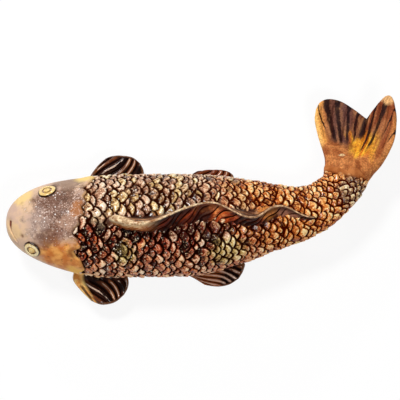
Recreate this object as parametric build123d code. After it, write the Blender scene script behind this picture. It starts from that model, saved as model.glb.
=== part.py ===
from build123d import *

import math
import os

# Koi figurine in glazed stoneware: a hollow head and two hollow body halves, luted
# together with slip, with slab fins and eye pellets set into slots and sockets.
# The fish lies on its belly with its snout towards -X and its tail swept to +Y.
# Lengths are in millimetres and angles in degrees. A run is a distance along the spine
# from the snout, and shares are plain proportions of a shape.

# Spine: straight through head and chest, then a gentle bend and a tight one
SPINE_STRAIGHT = 90.0
FLANK_BEND_RADIUS = 240.0
FLANK_BEND_TURN = 16.0
WRIST_BEND_RADIUS = 30.0
WRIST_BEND_TURN = 59.0

# Body: girth, and the runs over which it swells and tapers
BODY_WIDTH = 53.0
BACK_HEIGHT = 23.0
SEAM_HEIGHT = 22.0
FOOT_CUT = 1.0
CHEEK_RUN = 62.0
FOREHEAD_RUN = 60.0
CHIN_RUN = 42.0
TAPER_START_RUN = 87.0
TAPER_END_RUN = 180.0
WRIST_WIDTH = 22.0
WRIST_HEIGHT = 15.0
NOSE_EXPONENT = 2.3
FIRST_SECTION_RUN = 1.0
SNOUT_SHIFT = 2.0
SNOUT_SHIFT_RUN = 50.0

# Walls and luted joints
WALL = 5.0
SNOUT_WALL = 9.0
CAVITY_END_RUN = 158.0
NAPE_RUN = 40.0
COLLAR_LENGTH = 5.0
COLLAR_WALL = 2.4
COLLAR_LAND = 4.0
COLLAR_GAP = 0.2
TONGUE_DEPTH = 3.0
VENT_RADIUS = 3.0
VENT_RUN = 70.0

# Eyes: a disc sunk in a socket, with a pupil pellet sunk in the disc
EYE_RADIUS = 4.5
EYE_PROUD = 1.4
EYE_SUNK = 2.4
EYE_ROUNDING = 0.8
LEFT_EYE_RUN = 13.4
LEFT_EYE_ROLL_ANGLE = 32.0
RIGHT_EYE_RUN = 21.0
RIGHT_EYE_ROLL_ANGLE = 47.0
PUPIL_RADIUS = 2.1
PUPIL_PROUD = 0.6
PUPIL_SUNK = 1.2
PUPIL_ROUNDING = 0.4

# Mouth: a shallow slit round the front of the snout
MOUTH_WIDTH = 18.0
MOUTH_GAPE = 1.3
MOUTH_DEPTH = 2.4
MOUTH_RISE = 0.8

# Paddle fins: chord along the flank, reach beyond it, and fall of the slab from the seam
PADDLE_THICKNESS = 3.6
PADDLE_DROOP_ANGLE = 10.0
LEFT_PECTORAL_RUN = 34.2
RIGHT_PECTORAL_RUN = 42.5
PECTORAL_CHORD = 28.0
PECTORAL_REACH = 13.0
PECTORAL_DROP = 4.0
LEFT_PELVIC_RUN = 91.5
RIGHT_PELVIC_RUN = 93.0
PELVIC_CHORD = 28.0
LEFT_PELVIC_REACH = 4.0
RIGHT_PELVIC_REACH = 7.2
PELVIC_DROP = 9.0
PADDLE_SHARES = [(0.0, 0.0), (0.13, 0.5), (0.45, 0.99), (0.72, 0.94), (0.93, 0.55), (1.0, 0.0)]
PADDLE_ROOT_SHARES = [(0.85, -1.0), (0.2, -1.0)]
PADDLE_ROOT_DEPTH = 12.0

# Dorsal fin: a wavy slab that leans to either side in turn, flared on the fish's left
DORSAL_RUN = 53.0
DORSAL_LENGTH = 105.0
DORSAL_HEIGHT = 9.0
DORSAL_LEAN = 6.0
DORSAL_ROOT_THICKNESS = 4.6
DORSAL_CREST_THICKNESS = 2.6
DORSAL_FLARE = 3.5
DORSAL_DRIFT = 5.0
DORSAL_LEAN_SHARES = [(0.0, -0.2), (0.14, -0.75), (0.5, 1.0), (0.7, -0.42), (0.835, 0.14), (1.0, -1.3)]
DORSAL_SKEW_EXPONENT = 0.55
DORSAL_FULLNESS_EXPONENT = 0.6
DORSAL_END_SHARE = 0.015
DORSAL_SECTIONS = 17

# Tail fin: two lobes of a curved slab on a thick root, with a tongue
TAIL_THICKNESS = 3.4
TAIL_SHEET_RADIUS = 52.0
TAIL_SHEET_OFFSET = 19.8
TAIL_RIGHT_SPAN = 24.9
TAIL_RIGHT_LENGTH = 33.2
TAIL_LEFT_SPAN = 18.0
TAIL_LEFT_LENGTH = 40.6
TAIL_NOTCH_OFFSET = 2.0
TAIL_NOTCH_LENGTH = 27.8
TAIL_RIGHT_SHARES = [(0.52, -0.05), (0.83, 0.37), (1.0, 0.72), (0.9, 0.96), (0.55, 1.0)]
TAIL_LEFT_SHARES = [(0.46, 0.97), (0.6, 1.0), (0.88, 0.73), (1.0, 0.46), (0.66, -0.05)]
TAIL_ROOT_LENGTH = 13.0
TAIL_ROOT_SPAN = 25.0
TAIL_TONGUE_LENGTH = 9.0
TAIL_TONGUE_WIDTH = 12.0
TAIL_TONGUE_THICKNESS = 5.0

SECTION_COUNT = 16
SECTION_CROWDING_EXPONENT = 1.3
SHORT_SECTION_COUNT = 4
OVERSIZE = 400.0

HALF_WIDTH = BODY_WIDTH / 2
BELLY_DEPTH = SEAM_HEIGHT + FOOT_CUT
FLANK_BEND_LENGTH = FLANK_BEND_RADIUS * math.radians(FLANK_BEND_TURN)
WRIST_BEND_LENGTH = WRIST_BEND_RADIUS * math.radians(WRIST_BEND_TURN)
SPINE_LENGTH = SPINE_STRAIGHT + FLANK_BEND_LENGTH + WRIST_BEND_LENGTH


def make_spine():
    """Plan of the backbone: a straight line and two tangent arcs."""
    chest = Line((0, 0), (SPINE_STRAIGHT, 0))
    flank = JernArc(chest @ 1, chest % 1, FLANK_BEND_RADIUS, FLANK_BEND_TURN)
    wrist = JernArc(flank @ 1, flank % 1, WRIST_BEND_RADIUS, WRIST_BEND_TURN)
    return Wire([chest, flank, wrist])


SPINE = make_spine()


def snout_shift(run):
    """Set of the snout to the fish's right, which dies out along the head."""
    along = min(run / SNOUT_SHIFT_RUN, 1.0)
    return SNOUT_SHIFT * (1 + math.cos(math.pi * along)) / 2


def section_plane(run):
    """Upright plane square to the spine: local x to the fish's right, local y up."""
    point = SPINE.position_at(run, PositionMode.LENGTH)
    heading = SPINE.tangent_at(run, PositionMode.LENGTH)
    right = Vector(-heading.Y, heading.X, 0)
    middle = point + right * snout_shift(run) + Vector(0, 0, SEAM_HEIGHT)
    return Plane(origin=middle, x_dir=right, z_dir=heading)


def swell(run, nose_run, full, wrist):
    """Half-size of the body at a run: a blunt nose, a full middle and a cosine taper."""
    nose = 1.0
    if run < nose_run:
        nose = (1 - (1 - run / nose_run) ** 2) ** (1 / NOSE_EXPONENT)
    along = (run - TAPER_START_RUN) / (TAPER_END_RUN - TAPER_START_RUN)
    along = min(max(along, 0.0), 1.0)
    return nose * (wrist + (full - wrist) * (1 + math.cos(math.pi * along)) / 2)


def half_width(run):
    """Half the body's width at a run."""
    return swell(run, CHEEK_RUN, HALF_WIDTH, WRIST_WIDTH / 2)


def crown(run):
    """Height of the back over the seam at a run."""
    return swell(run, FOREHEAD_RUN, BACK_HEIGHT, WRIST_HEIGHT / 2)


def keel(run):
    """Depth of the belly under the seam at a run, before the foot is cut flat."""
    return swell(run, CHIN_RUN, BELLY_DEPTH, WRIST_HEIGHT / 2)


def oval_face(run, inset):
    """Cross-section at a run, drawn in from the outer surface by an inset."""
    width = half_width(run) - inset
    over = EllipticalCenterArc((0, 0), width, crown(run) - inset, 0, arc_size=180)
    under = EllipticalCenterArc((0, 0), width, keel(run) - inset, 180, arc_size=180)
    return section_plane(run) * make_face([over, under])


def oval_loft(start, end, inset=0.0, count=SECTION_COUNT, tip=()):
    """Smooth solid through cross-sections, closer together at the start, with an optional tip."""
    shares = [(i / (count - 1)) ** SECTION_CROWDING_EXPONENT for i in range(count)]
    runs = [start + (end - start) * share for share in shares]
    return loft([*tip, *(oval_face(run, inset) for run in runs)])


def level_slab(low, high):
    """Wide block between two heights."""
    return Pos(0, 0, (low + high) / 2) * Box(OVERSIZE, OVERSIZE, high - low)


def surface_point(run, roll):
    """Point of the upper surface; roll is counted up from the fish's right side."""
    angle = math.radians(roll)
    section = section_plane(run)
    across = section.x_dir * (half_width(run) * math.cos(angle))
    return section.origin + across + Vector(0, 0, crown(run) * math.sin(angle))


def surface_frame(run, roll):
    """Plane that touches the upper surface, with its z pointing outwards."""
    step = FIRST_SECTION_RUN / 5
    along = surface_point(run + step, roll) - surface_point(run - step, roll)
    around = surface_point(run, roll + 1) - surface_point(run, roll - 1)
    return Plane(origin=surface_point(run, roll), x_dir=along, z_dir=around.cross(along))


def make_paddle(run, side, chord, reach, drop):
    """Paddle-shaped slab fin; side is 1 for the fish's right flank and -1 for its left."""
    section = section_plane(run + chord / 2)
    droop = math.radians(PADDLE_DROOP_ANGLE)
    outward = section.x_dir * (side * math.cos(droop)) - Vector(0, 0, math.sin(droop))
    origin = section.origin - section.z_dir * (chord / 2) - Vector(0, 0, drop)
    plane = Plane(origin=origin, x_dir=section.z_dir, z_dir=section.z_dir.cross(outward))
    flank = half_width(run + chord / 2)
    edge = Spline([(u * chord, flank + w * reach) for u, w in PADDLE_SHARES])
    root = [(u * chord, flank + w * PADDLE_ROOT_DEPTH) for u, w in PADDLE_ROOT_SHARES]
    outline = make_face([edge, *Polyline(edge @ 1, *root, edge @ 0).edges()])
    return extrude(plane * outline, PADDLE_THICKNESS / 2, both=True)


def dorsal_crest(share):
    """Height over the back and sideways lean of the dorsal crest at a share of its length."""
    height = DORSAL_HEIGHT * math.sin(math.pi * share ** DORSAL_SKEW_EXPONENT) ** DORSAL_FULLNESS_EXPONENT
    for (start, first), (end, second) in zip(DORSAL_LEAN_SHARES, DORSAL_LEAN_SHARES[1:]):
        if start <= share <= end:
            ease = (1 - math.cos(math.pi * (share - start) / (end - start))) / 2
            return height, DORSAL_LEAN * (first + (second - first) * ease)


def make_dorsal_blank():
    """Wavy slab along the back that drifts left, with its foot sunk a wall's depth into the body."""
    faces = []
    root = DORSAL_ROOT_THICKNESS / 2
    crest = DORSAL_CREST_THICKNESS / 2
    for i in range(DORSAL_SECTIONS):
        share = DORSAL_END_SHARE + (1 - 2 * DORSAL_END_SHARE) * i / (DORSAL_SECTIONS - 1)
        run = DORSAL_RUN + DORSAL_LENGTH * share
        height, lean = dorsal_crest(share)
        drift = -DORSAL_DRIFT * share ** 2
        foot = crown(run) - WALL
        top = crown(run) * math.sqrt(1 - (lean / half_width(run)) ** 2) + height
        left = drift - root - DORSAL_FLARE
        corners = [(drift + root, foot), (lean + crest, top), (lean - crest, top), (left, foot)]
        faces.append(section_plane(run) * make_face(Polyline(*corners, close=True).edges()))
    return loft(faces)


def tail_outline():
    """Plan of the tail lobes: local x to the fish's right, local y away from the body."""
    notch = (-TAIL_NOTCH_OFFSET, TAIL_NOTCH_LENGTH)
    right = [(u * TAIL_RIGHT_SPAN, w * TAIL_RIGHT_LENGTH) for u, w in TAIL_RIGHT_SHARES]
    left = [(-u * TAIL_LEFT_SPAN, w * TAIL_LEFT_LENGTH) for u, w in TAIL_LEFT_SHARES]
    edges = [Spline(*right), Line(right[-1], notch), Line(notch, left[0]), Spline(*left)]
    return make_face([*edges, Line(left[-1], right[0])])


def make_tail():
    """Tail fin: lobes cut from a curved slab, a root as thick as the body's end and a tongue."""
    end = section_plane(SPINE_LENGTH)
    plan = Plane(origin=end.origin, x_dir=end.x_dir, z_dir=(0, 0, -1))
    prism = extrude(plan * tail_outline(), TAIL_SHEET_RADIUS / 2, both=True)
    ring = Circle(TAIL_SHEET_RADIUS + TAIL_THICKNESS / 2) - Circle(TAIL_SHEET_RADIUS - TAIL_THICKNESS / 2)
    rise = math.sqrt(TAIL_SHEET_RADIUS ** 2 - TAIL_SHEET_OFFSET ** 2)
    sheet = extrude(end * Pos(TAIL_SHEET_OFFSET, rise) * ring, TAIL_LEFT_LENGTH + WALL)
    slope = math.degrees(math.asin(TAIL_SHEET_OFFSET / TAIL_SHEET_RADIUS))
    thin = Rot(0, 0, -slope) * Ellipse(TAIL_ROOT_SPAN / 2, TAIL_THICKNESS / 2)
    root = loft([oval_face(SPINE_LENGTH, 0.0), end * Pos(0, 0, TAIL_ROOT_LENGTH) * thin])
    length = TAIL_TONGUE_LENGTH + WALL
    tongue = Box(TAIL_TONGUE_WIDTH, TAIL_TONGUE_THICKNESS, length)
    return (prism & sheet) + root + end * Pos(0, 0, WALL - length / 2) * tongue


def make_eye(run, roll):
    """Rounded eye disc with a socket for its pupil, and the pupil pellet."""
    frame = surface_frame(run, roll)
    disc = Pos(0, 0, (EYE_PROUD - EYE_SUNK) / 2) * Cylinder(EYE_RADIUS, EYE_PROUD + EYE_SUNK)
    disc = fillet(disc.edges().group_by(Axis.Z)[-1], EYE_ROUNDING)
    depth = PUPIL_PROUD + PUPIL_SUNK
    pellet = Pos(0, 0, EYE_PROUD + (PUPIL_PROUD - PUPIL_SUNK) / 2) * Cylinder(PUPIL_RADIUS, depth)
    pellet = fillet(pellet.edges().group_by(Axis.Z)[-1], PUPIL_ROUNDING)
    return frame * (disc - pellet), frame * pellet


def make_head_blank():
    """Hollow head from the snout to the nape, with the mouth slit."""
    outer = oval_loft(FIRST_SECTION_RUN, NAPE_RUN, tip=[Vertex(0, SNOUT_SHIFT, SEAM_HEIGHT)])
    hollow = oval_loft(SNOUT_WALL, NAPE_RUN + WALL, WALL)
    slit = Box(2 * MOUTH_DEPTH, MOUTH_WIDTH, MOUTH_GAPE)
    return outer - hollow - Pos(0, SNOUT_SHIFT, SEAM_HEIGHT + MOUTH_RISE) * slit


def make_body_blank():
    """Hollow body from the nape to the tail, with a collar that goes up into the head."""
    front = NAPE_RUN - COLLAR_LENGTH
    outer = oval_loft(NAPE_RUN, SPINE_LENGTH)
    collar = oval_loft(front, NAPE_RUN + COLLAR_GAP, WALL + COLLAR_GAP, SHORT_SECTION_COUNT)
    hollow = oval_loft(NAPE_RUN + COLLAR_LAND, CAVITY_END_RUN, WALL)
    throat_inset = WALL + COLLAR_GAP + COLLAR_WALL
    throat = oval_loft(front - WALL, NAPE_RUN + COLLAR_LAND + WALL, throat_inset, SHORT_SECTION_COUNT)
    return outer + collar - hollow - throat


def make_pieces():
    """All the pieces of the figurine, by name, in the spine's own frame."""
    core = oval_loft(FIRST_SECTION_RUN + CHEEK_RUN / 2, SPINE_LENGTH, TONGUE_DEPTH)
    pectoral = (PECTORAL_CHORD, PECTORAL_REACH, PECTORAL_DROP)
    fins = {
        "dorsal_fin": make_dorsal_blank() - core,
        "left_pectoral_fin": make_paddle(LEFT_PECTORAL_RUN, -1, *pectoral) - core,
        "right_pectoral_fin": make_paddle(RIGHT_PECTORAL_RUN, 1, *pectoral) - core,
        "left_pelvic_fin": make_paddle(LEFT_PELVIC_RUN, -1, PELVIC_CHORD, LEFT_PELVIC_REACH, PELVIC_DROP) - core,
        "right_pelvic_fin": make_paddle(RIGHT_PELVIC_RUN, 1, PELVIC_CHORD, RIGHT_PELVIC_REACH, PELVIC_DROP) - core,
        "tail_fin": make_tail(),
    }
    left_eye, left_pupil = make_eye(LEFT_EYE_RUN, 180 - LEFT_EYE_ROLL_ANGLE)
    right_eye, right_pupil = make_eye(RIGHT_EYE_RUN, RIGHT_EYE_ROLL_ANGLE)
    eyes = {"left_eye": left_eye, "right_eye": right_eye}
    pupils = {"left_pupil": left_pupil, "right_pupil": right_pupil}
    back = level_slab(SEAM_HEIGHT, OVERSIZE)
    belly = level_slab(0, SEAM_HEIGHT)
    vent = section_plane(VENT_RUN).origin
    vent_drill = Pos(vent.X, vent.Y, 0) * Cylinder(VENT_RADIUS, SEAM_HEIGHT)
    body = make_body_blank()
    head = make_head_blank() & level_slab(0, OVERSIZE)
    shells = {
        "head_shell": head - [*fins.values(), *eyes.values(), *pupils.values()],
        "back_shell": (body & back) - [*fins.values()],
        "belly_shell": (body & belly) - [*fins.values(), vent_drill],
    }
    return {**shells, **fins, **eyes, **pupils}


def main():
    """Move the fish so that its box's bottom centre is the origin, and write each piece."""
    os.makedirs("parts", exist_ok=True)
    pieces = make_pieces()
    box = Compound(children=[Compound([piece]) for piece in pieces.values()]).bounding_box()
    shift = Pos(-box.center().X, -box.center().Y, -box.min.Z)
    for name, piece in pieces.items():
        export_step(shift * piece, f"parts/{name}.step")


main()
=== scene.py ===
"""Koi figurine in glazed stoneware, dressed piece by piece around its solids.

Shapes are worked out in millimetres in the frame of the solids and written to the meshes in metres.
A run is a distance along the spine from the snout. A roll is an angle round the body in radians,
counted from the fish's right flank up over the back.
"""

import logging
import math
from dataclasses import dataclass, field
from enum import Enum
from typing import Sequence

import bpy
import numpy as np
from mathutils import Matrix, Vector


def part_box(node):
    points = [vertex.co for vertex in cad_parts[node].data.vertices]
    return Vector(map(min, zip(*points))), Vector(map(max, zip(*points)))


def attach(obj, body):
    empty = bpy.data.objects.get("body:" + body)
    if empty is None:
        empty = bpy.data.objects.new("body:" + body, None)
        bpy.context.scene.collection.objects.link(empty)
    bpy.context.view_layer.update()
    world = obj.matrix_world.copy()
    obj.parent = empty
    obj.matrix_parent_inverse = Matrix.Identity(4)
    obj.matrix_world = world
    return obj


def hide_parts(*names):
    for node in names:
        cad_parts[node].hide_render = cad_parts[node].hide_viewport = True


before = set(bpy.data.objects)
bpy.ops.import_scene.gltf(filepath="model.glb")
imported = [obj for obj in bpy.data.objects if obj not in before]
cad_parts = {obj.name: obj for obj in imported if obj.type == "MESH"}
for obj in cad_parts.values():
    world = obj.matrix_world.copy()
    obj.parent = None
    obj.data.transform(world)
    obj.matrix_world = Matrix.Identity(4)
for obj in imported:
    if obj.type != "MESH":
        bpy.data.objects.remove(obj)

Array = np.ndarray
Colour = tuple[float, float, float, float]
Feeds = dict[int | str, object]
Glaze = bpy.types.Material
Group = bpy.types.NodeTree
Piece = bpy.types.Object
Place = tuple[float, float, float]
Point = tuple[float, float]
Shade = tuple[int, int, int]
Patch = tuple[Place, float, float, Shade, float]
Socket = bpy.types.NodeSocket

MM = 0.001
MERGE_DISTANCE = 2e-6
SHARP_ANGLE = math.radians(55.0)
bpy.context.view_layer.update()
LOG = logging.getLogger("koi")


class Side(Enum):
    """Flank of the fish, as the sign of its sideways direction."""

    RIGHT = 1
    LEFT = -1


def smoothstep(low: float, high: float, value: Array) -> Array:
    """Ease from 0 at low to 1 at high."""
    share = np.clip((value - low) / (high - low), 0.0, 1.0)
    return share * share * (3.0 - 2.0 * share)


def eased(points: Sequence[Point], value: Array) -> Array:
    """Follow a table of points with eased steps between them.

    Args:
        points: Places and values, in order.
        value: Places to look up.

    Returns:
        The eased values.
    """
    places, heights = (np.array(column) for column in zip(*points))
    index = np.clip(np.searchsorted(places, value) - 1, 0, len(points) - 2)
    share = np.clip((value - places[index]) / (places[index + 1] - places[index]), 0.0, 1.0)
    return heights[index] + (heights[index + 1] - heights[index]) * (1.0 - np.cos(np.pi * share)) / 2.0


def scatter(first: Array, second: Array, seed: float) -> Array:
    """Give each pair of whole numbers its own fixed number between 0 and 1."""
    wave = np.sin(first * 12.9898 + second * 78.233 + seed * 37.719) * 43758.5453
    return wave - np.floor(wave)


def smooth_path(points: Sequence[Point], share: Array) -> Array:
    """Follow a smooth open curve through points, at shares of its length.

    Args:
        points: Corner points that the curve goes through.
        share: Shares of the length, from 0 to 1.

    Returns:
        Points of the curve, one row for each share.
    """
    knots = np.asarray(points, float)
    padded = np.vstack([2 * knots[0] - knots[1], knots, 2 * knots[-1] - knots[-2]])
    fine = np.linspace(0.0, len(knots) - 1.0, 40 * len(knots))
    index = np.minimum(fine.astype(int), len(knots) - 2)
    t = (fine - index)[:, None]
    a, b, c, d = (padded[index + k] for k in range(4))
    curve = 0.5 * (2 * b + (c - a) * t + (2 * a - 5 * b + 4 * c - d) * t**2 + (3 * b - a - 3 * c + d) * t**3)
    length = np.concatenate([[0.0], np.cumsum(np.linalg.norm(np.diff(curve, axis=0), axis=1))])
    length /= length[-1]
    return np.stack([np.interp(share, length, curve[:, k]) for k in range(curve.shape[1])], axis=-1)


def grid_normals(points: Array) -> Array:
    """Unit normals of a grid of points."""
    normal = np.cross(np.gradient(points, axis=1), np.gradient(points, axis=0))
    return normal / np.maximum(np.linalg.norm(normal, axis=-1, keepdims=True), 1e-9)


@dataclass(frozen=True)
class Spine:
    """Backbone in plan: a straight stretch, a gentle bend and a tight one."""

    straight: float = 90.0
    flank_radius: float = 240.0
    flank_turn: float = math.radians(16.0)
    wrist_radius: float = 30.0
    wrist_turn: float = math.radians(59.0)

    @property
    def length(self) -> float:
        """Length of the backbone."""
        return self.straight + self.flank_radius * self.flank_turn + self.wrist_radius * self.wrist_turn

    def place(self, run: Array) -> tuple[Array, Array, Array]:
        """Place on the backbone.

        Args:
            run: Distances from the snout.

        Returns:
            Plan x, plan y and heading angle.
        """
        flank, wrist = self.flank_radius * self.flank_turn, self.wrist_radius * self.wrist_turn
        first = np.clip(run - self.straight, 0.0, flank)
        second = np.clip(run - self.straight - flank, 0.0, wrist)
        beyond = np.maximum(run - self.length, 0.0)
        turn = first / self.flank_radius
        heading = turn + second / self.wrist_radius
        x = np.minimum(run, self.straight) + self.flank_radius * np.sin(turn)
        y = self.flank_radius * (1.0 - np.cos(turn))
        x = x + self.wrist_radius * (np.sin(heading) - np.sin(turn)) + beyond * np.cos(heading)
        y = y + self.wrist_radius * (np.cos(turn) - np.cos(heading)) + beyond * np.sin(heading)
        return x, y, heading


@dataclass(frozen=True)
class BodyForm:
    """Outer surface of the fish without its relief."""

    spine: Spine = Spine()
    half_width_full: float = 26.5
    crown_full: float = 23.0
    keel_full: float = 23.0
    seam_height: float = 22.0
    cheek_run: float = 62.0
    forehead_run: float = 60.0
    chin_run: float = 42.0
    taper_start: float = 87.0
    taper_end: float = 180.0
    wrist_half_width: float = 11.0
    wrist_half_height: float = 7.5
    nose_exponent: float = 2.3
    nape_run: float = 40.0
    snout_shift: float = 2.0
    snout_shift_run: float = 50.0
    sway: tuple[Point, ...] = (
        (48.0, 0.0), (68.0, 0.4), (92.0, 0.6), (118.0, 1.5), (132.0, 1.4), (142.0, 0.3), (152.0, -0.9),
        (160.0, -0.5), (170.0, 0.5), (180.0, 0.0),
    )
    wrist_bulge: float = 2.0
    wrist_bulge_runs: Point = (174.0, 184.0)

    def swell(self, run: Array, nose_run: float, full: float, wrist: float) -> Array:
        """Half-size at a run.

        Args:
            run: Distances from the snout.
            nose_run: Run over which the nose swells.
            full: Half-size in the middle.
            wrist: Half-size at the tail.

        Returns:
            Half-sizes.
        """
        lack = np.clip(1.0 - run / nose_run, 0.0, 1.0)
        nose = (1.0 - lack**2) ** (1.0 / self.nose_exponent)
        along = np.clip((run - self.taper_start) / (self.taper_end - self.taper_start), 0.0, 1.0)
        return nose * (wrist + (full - wrist) * (1.0 + np.cos(np.pi * along)) / 2.0)

    def half_width(self, run: Array) -> Array:
        """Half the width at a run."""
        return self.swell(run, self.cheek_run, self.half_width_full, self.wrist_half_width)

    def crown(self, run: Array) -> Array:
        """Height of the back over the seam at a run."""
        return self.swell(run, self.forehead_run, self.crown_full, self.wrist_half_height)

    def keel(self, run: Array) -> Array:
        """Depth of the belly under the seam at a run."""
        return self.swell(run, self.chin_run, self.keel_full, self.wrist_half_height)

    def origin(self) -> Array:
        """Snout's place in the frame of the solids, at floor height, from the head's solid."""
        low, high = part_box("head_shell")
        middle = (low.y + high.y) / (2 * MM) - float(self.offset(np.array(self.nape_run)))
        return np.array([high.x / MM - self.nape_run, middle, 0.0])

    def offset(self, run: Array) -> Array:
        """Set of the body to the fish's right: the turn of the snout and the sway of the flank."""
        along = np.clip(run / self.snout_shift_run, 0.0, 1.0)
        return self.snout_shift * (1.0 + np.cos(np.pi * along)) / 2.0 + eased(self.sway, run)

    def place(self, run: Array, lateral: Array, rise: Array) -> Array:
        """Point beside and above the backbone.

        Args:
            run: Distances from the snout.
            lateral: Distances to the fish's right.
            rise: Heights over the seam.

        Returns:
            Points in the frame of the solids, in millimetres.
        """
        x, y, heading = self.spine.place(np.asarray(run, float))
        lateral = lateral + self.offset(np.asarray(run, float))
        aside, along = lateral * np.sin(heading), lateral * np.cos(heading)
        return np.stack([x - aside, y + along, self.seam_height + rise + 0.0 * x], axis=-1) + self.origin()

    def surface(self, run: Array, roll: Array, inset: Array | float = 0.0) -> Array:
        """Point of the surface, or of one drawn in from it.

        Args:
            run: Distances from the snout.
            roll: Angles round the body.
            inset: How far the surface is drawn in.

        Returns:
            Points in the frame of the solids, in millimetres.
        """
        height = np.where(np.sin(roll) >= 0.0, self.crown(run), self.keel(run))
        bulge = self.wrist_bulge * smoothstep(*self.wrist_bulge_runs, run) * (np.cos(roll) > 0.0)
        lateral = np.maximum(self.half_width(run) + bulge - inset, 0.0) * np.cos(roll)
        return self.place(run, lateral, np.maximum(height - inset, 0.0) * np.sin(roll))

    def back(self, run: Array, lateral: Array) -> Array:
        """Height of the back over the seam, beside its middle."""
        return self.crown(run) * np.sqrt(np.clip(1.0 - (lateral / self.half_width(run)) ** 2, 0.0, 1.0))


FORM = BodyForm()


def look_towards(points: Array, outward: Array) -> Array:
    """Turn normals so that they point the given way."""
    return points if float(np.sum(points * outward)) > 0.0 else -points


def bare_skin(run: Array, roll: Array) -> tuple[Array, Array]:
    """Surface of the fish without its relief.

    Args:
        run: Grid of distances from the snout.
        roll: Grid of angles round the body.

    Returns:
        Points in millimetres and their outward normals.
    """
    bare = FORM.surface(run, roll)
    axis = FORM.place(run, 0.0 * run, 0.0 * run)
    return bare, look_towards(grid_normals(bare), bare - axis)


def make_grid(name: str, points: Array, masks: dict[str, Array]) -> Piece:
    """Shape a grid primitive to a grid of points, merge what meets, close it and shade it.

    Args:
        name: Name of the piece.
        points: Grid of points in millimetres, rows by columns by 3.
        masks: Named values over the grid, for the glazes.

    Returns:
        The closed piece.
    """
    rows, columns = points.shape[:2]
    bpy.ops.object.select_all(action="DESELECT")
    bpy.ops.mesh.primitive_grid_add(x_subdivisions=columns - 1, y_subdivisions=rows - 1, size=1.0)
    piece = bpy.context.object
    piece.name = name
    piece.data.name = name
    piece.data.vertices.foreach_set("co", (points * MM).astype(np.float32).ravel())
    for title, values in masks.items():
        attribute = piece.data.attributes.new(title, "FLOAT", "POINT")
        spread = np.broadcast_to(values, (rows, columns)).astype(np.float32)
        attribute.data.foreach_set("value", spread.ravel())
    bpy.ops.object.mode_set(mode="EDIT")
    bpy.ops.mesh.select_all(action="SELECT")
    bpy.ops.mesh.remove_doubles(threshold=MERGE_DISTANCE)
    bpy.ops.mesh.fill_holes(sides=0)
    bpy.ops.mesh.select_all(action="SELECT")
    bpy.ops.mesh.normals_make_consistent(inside=False)
    bpy.ops.object.mode_set(mode="OBJECT")
    bpy.ops.object.shade_smooth_by_angle(angle=SHARP_ANGLE)
    return piece


def finish_piece(piece: Piece, material: Glaze) -> None:
    """Dress a piece, let it stand for its solid and report it.

    Args:
        piece: Piece that has its solid's name with an ending.
        material: Glaze of the piece.
    """
    piece.data.materials.clear()
    piece.data.materials.append(material)
    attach(piece, "root")
    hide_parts(piece.name.removesuffix("_dressed"))
    piece.data.calc_loop_triangles()
    LOG.info("%s: %d triangles", piece.name, len(piece.data.loop_triangles))


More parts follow.
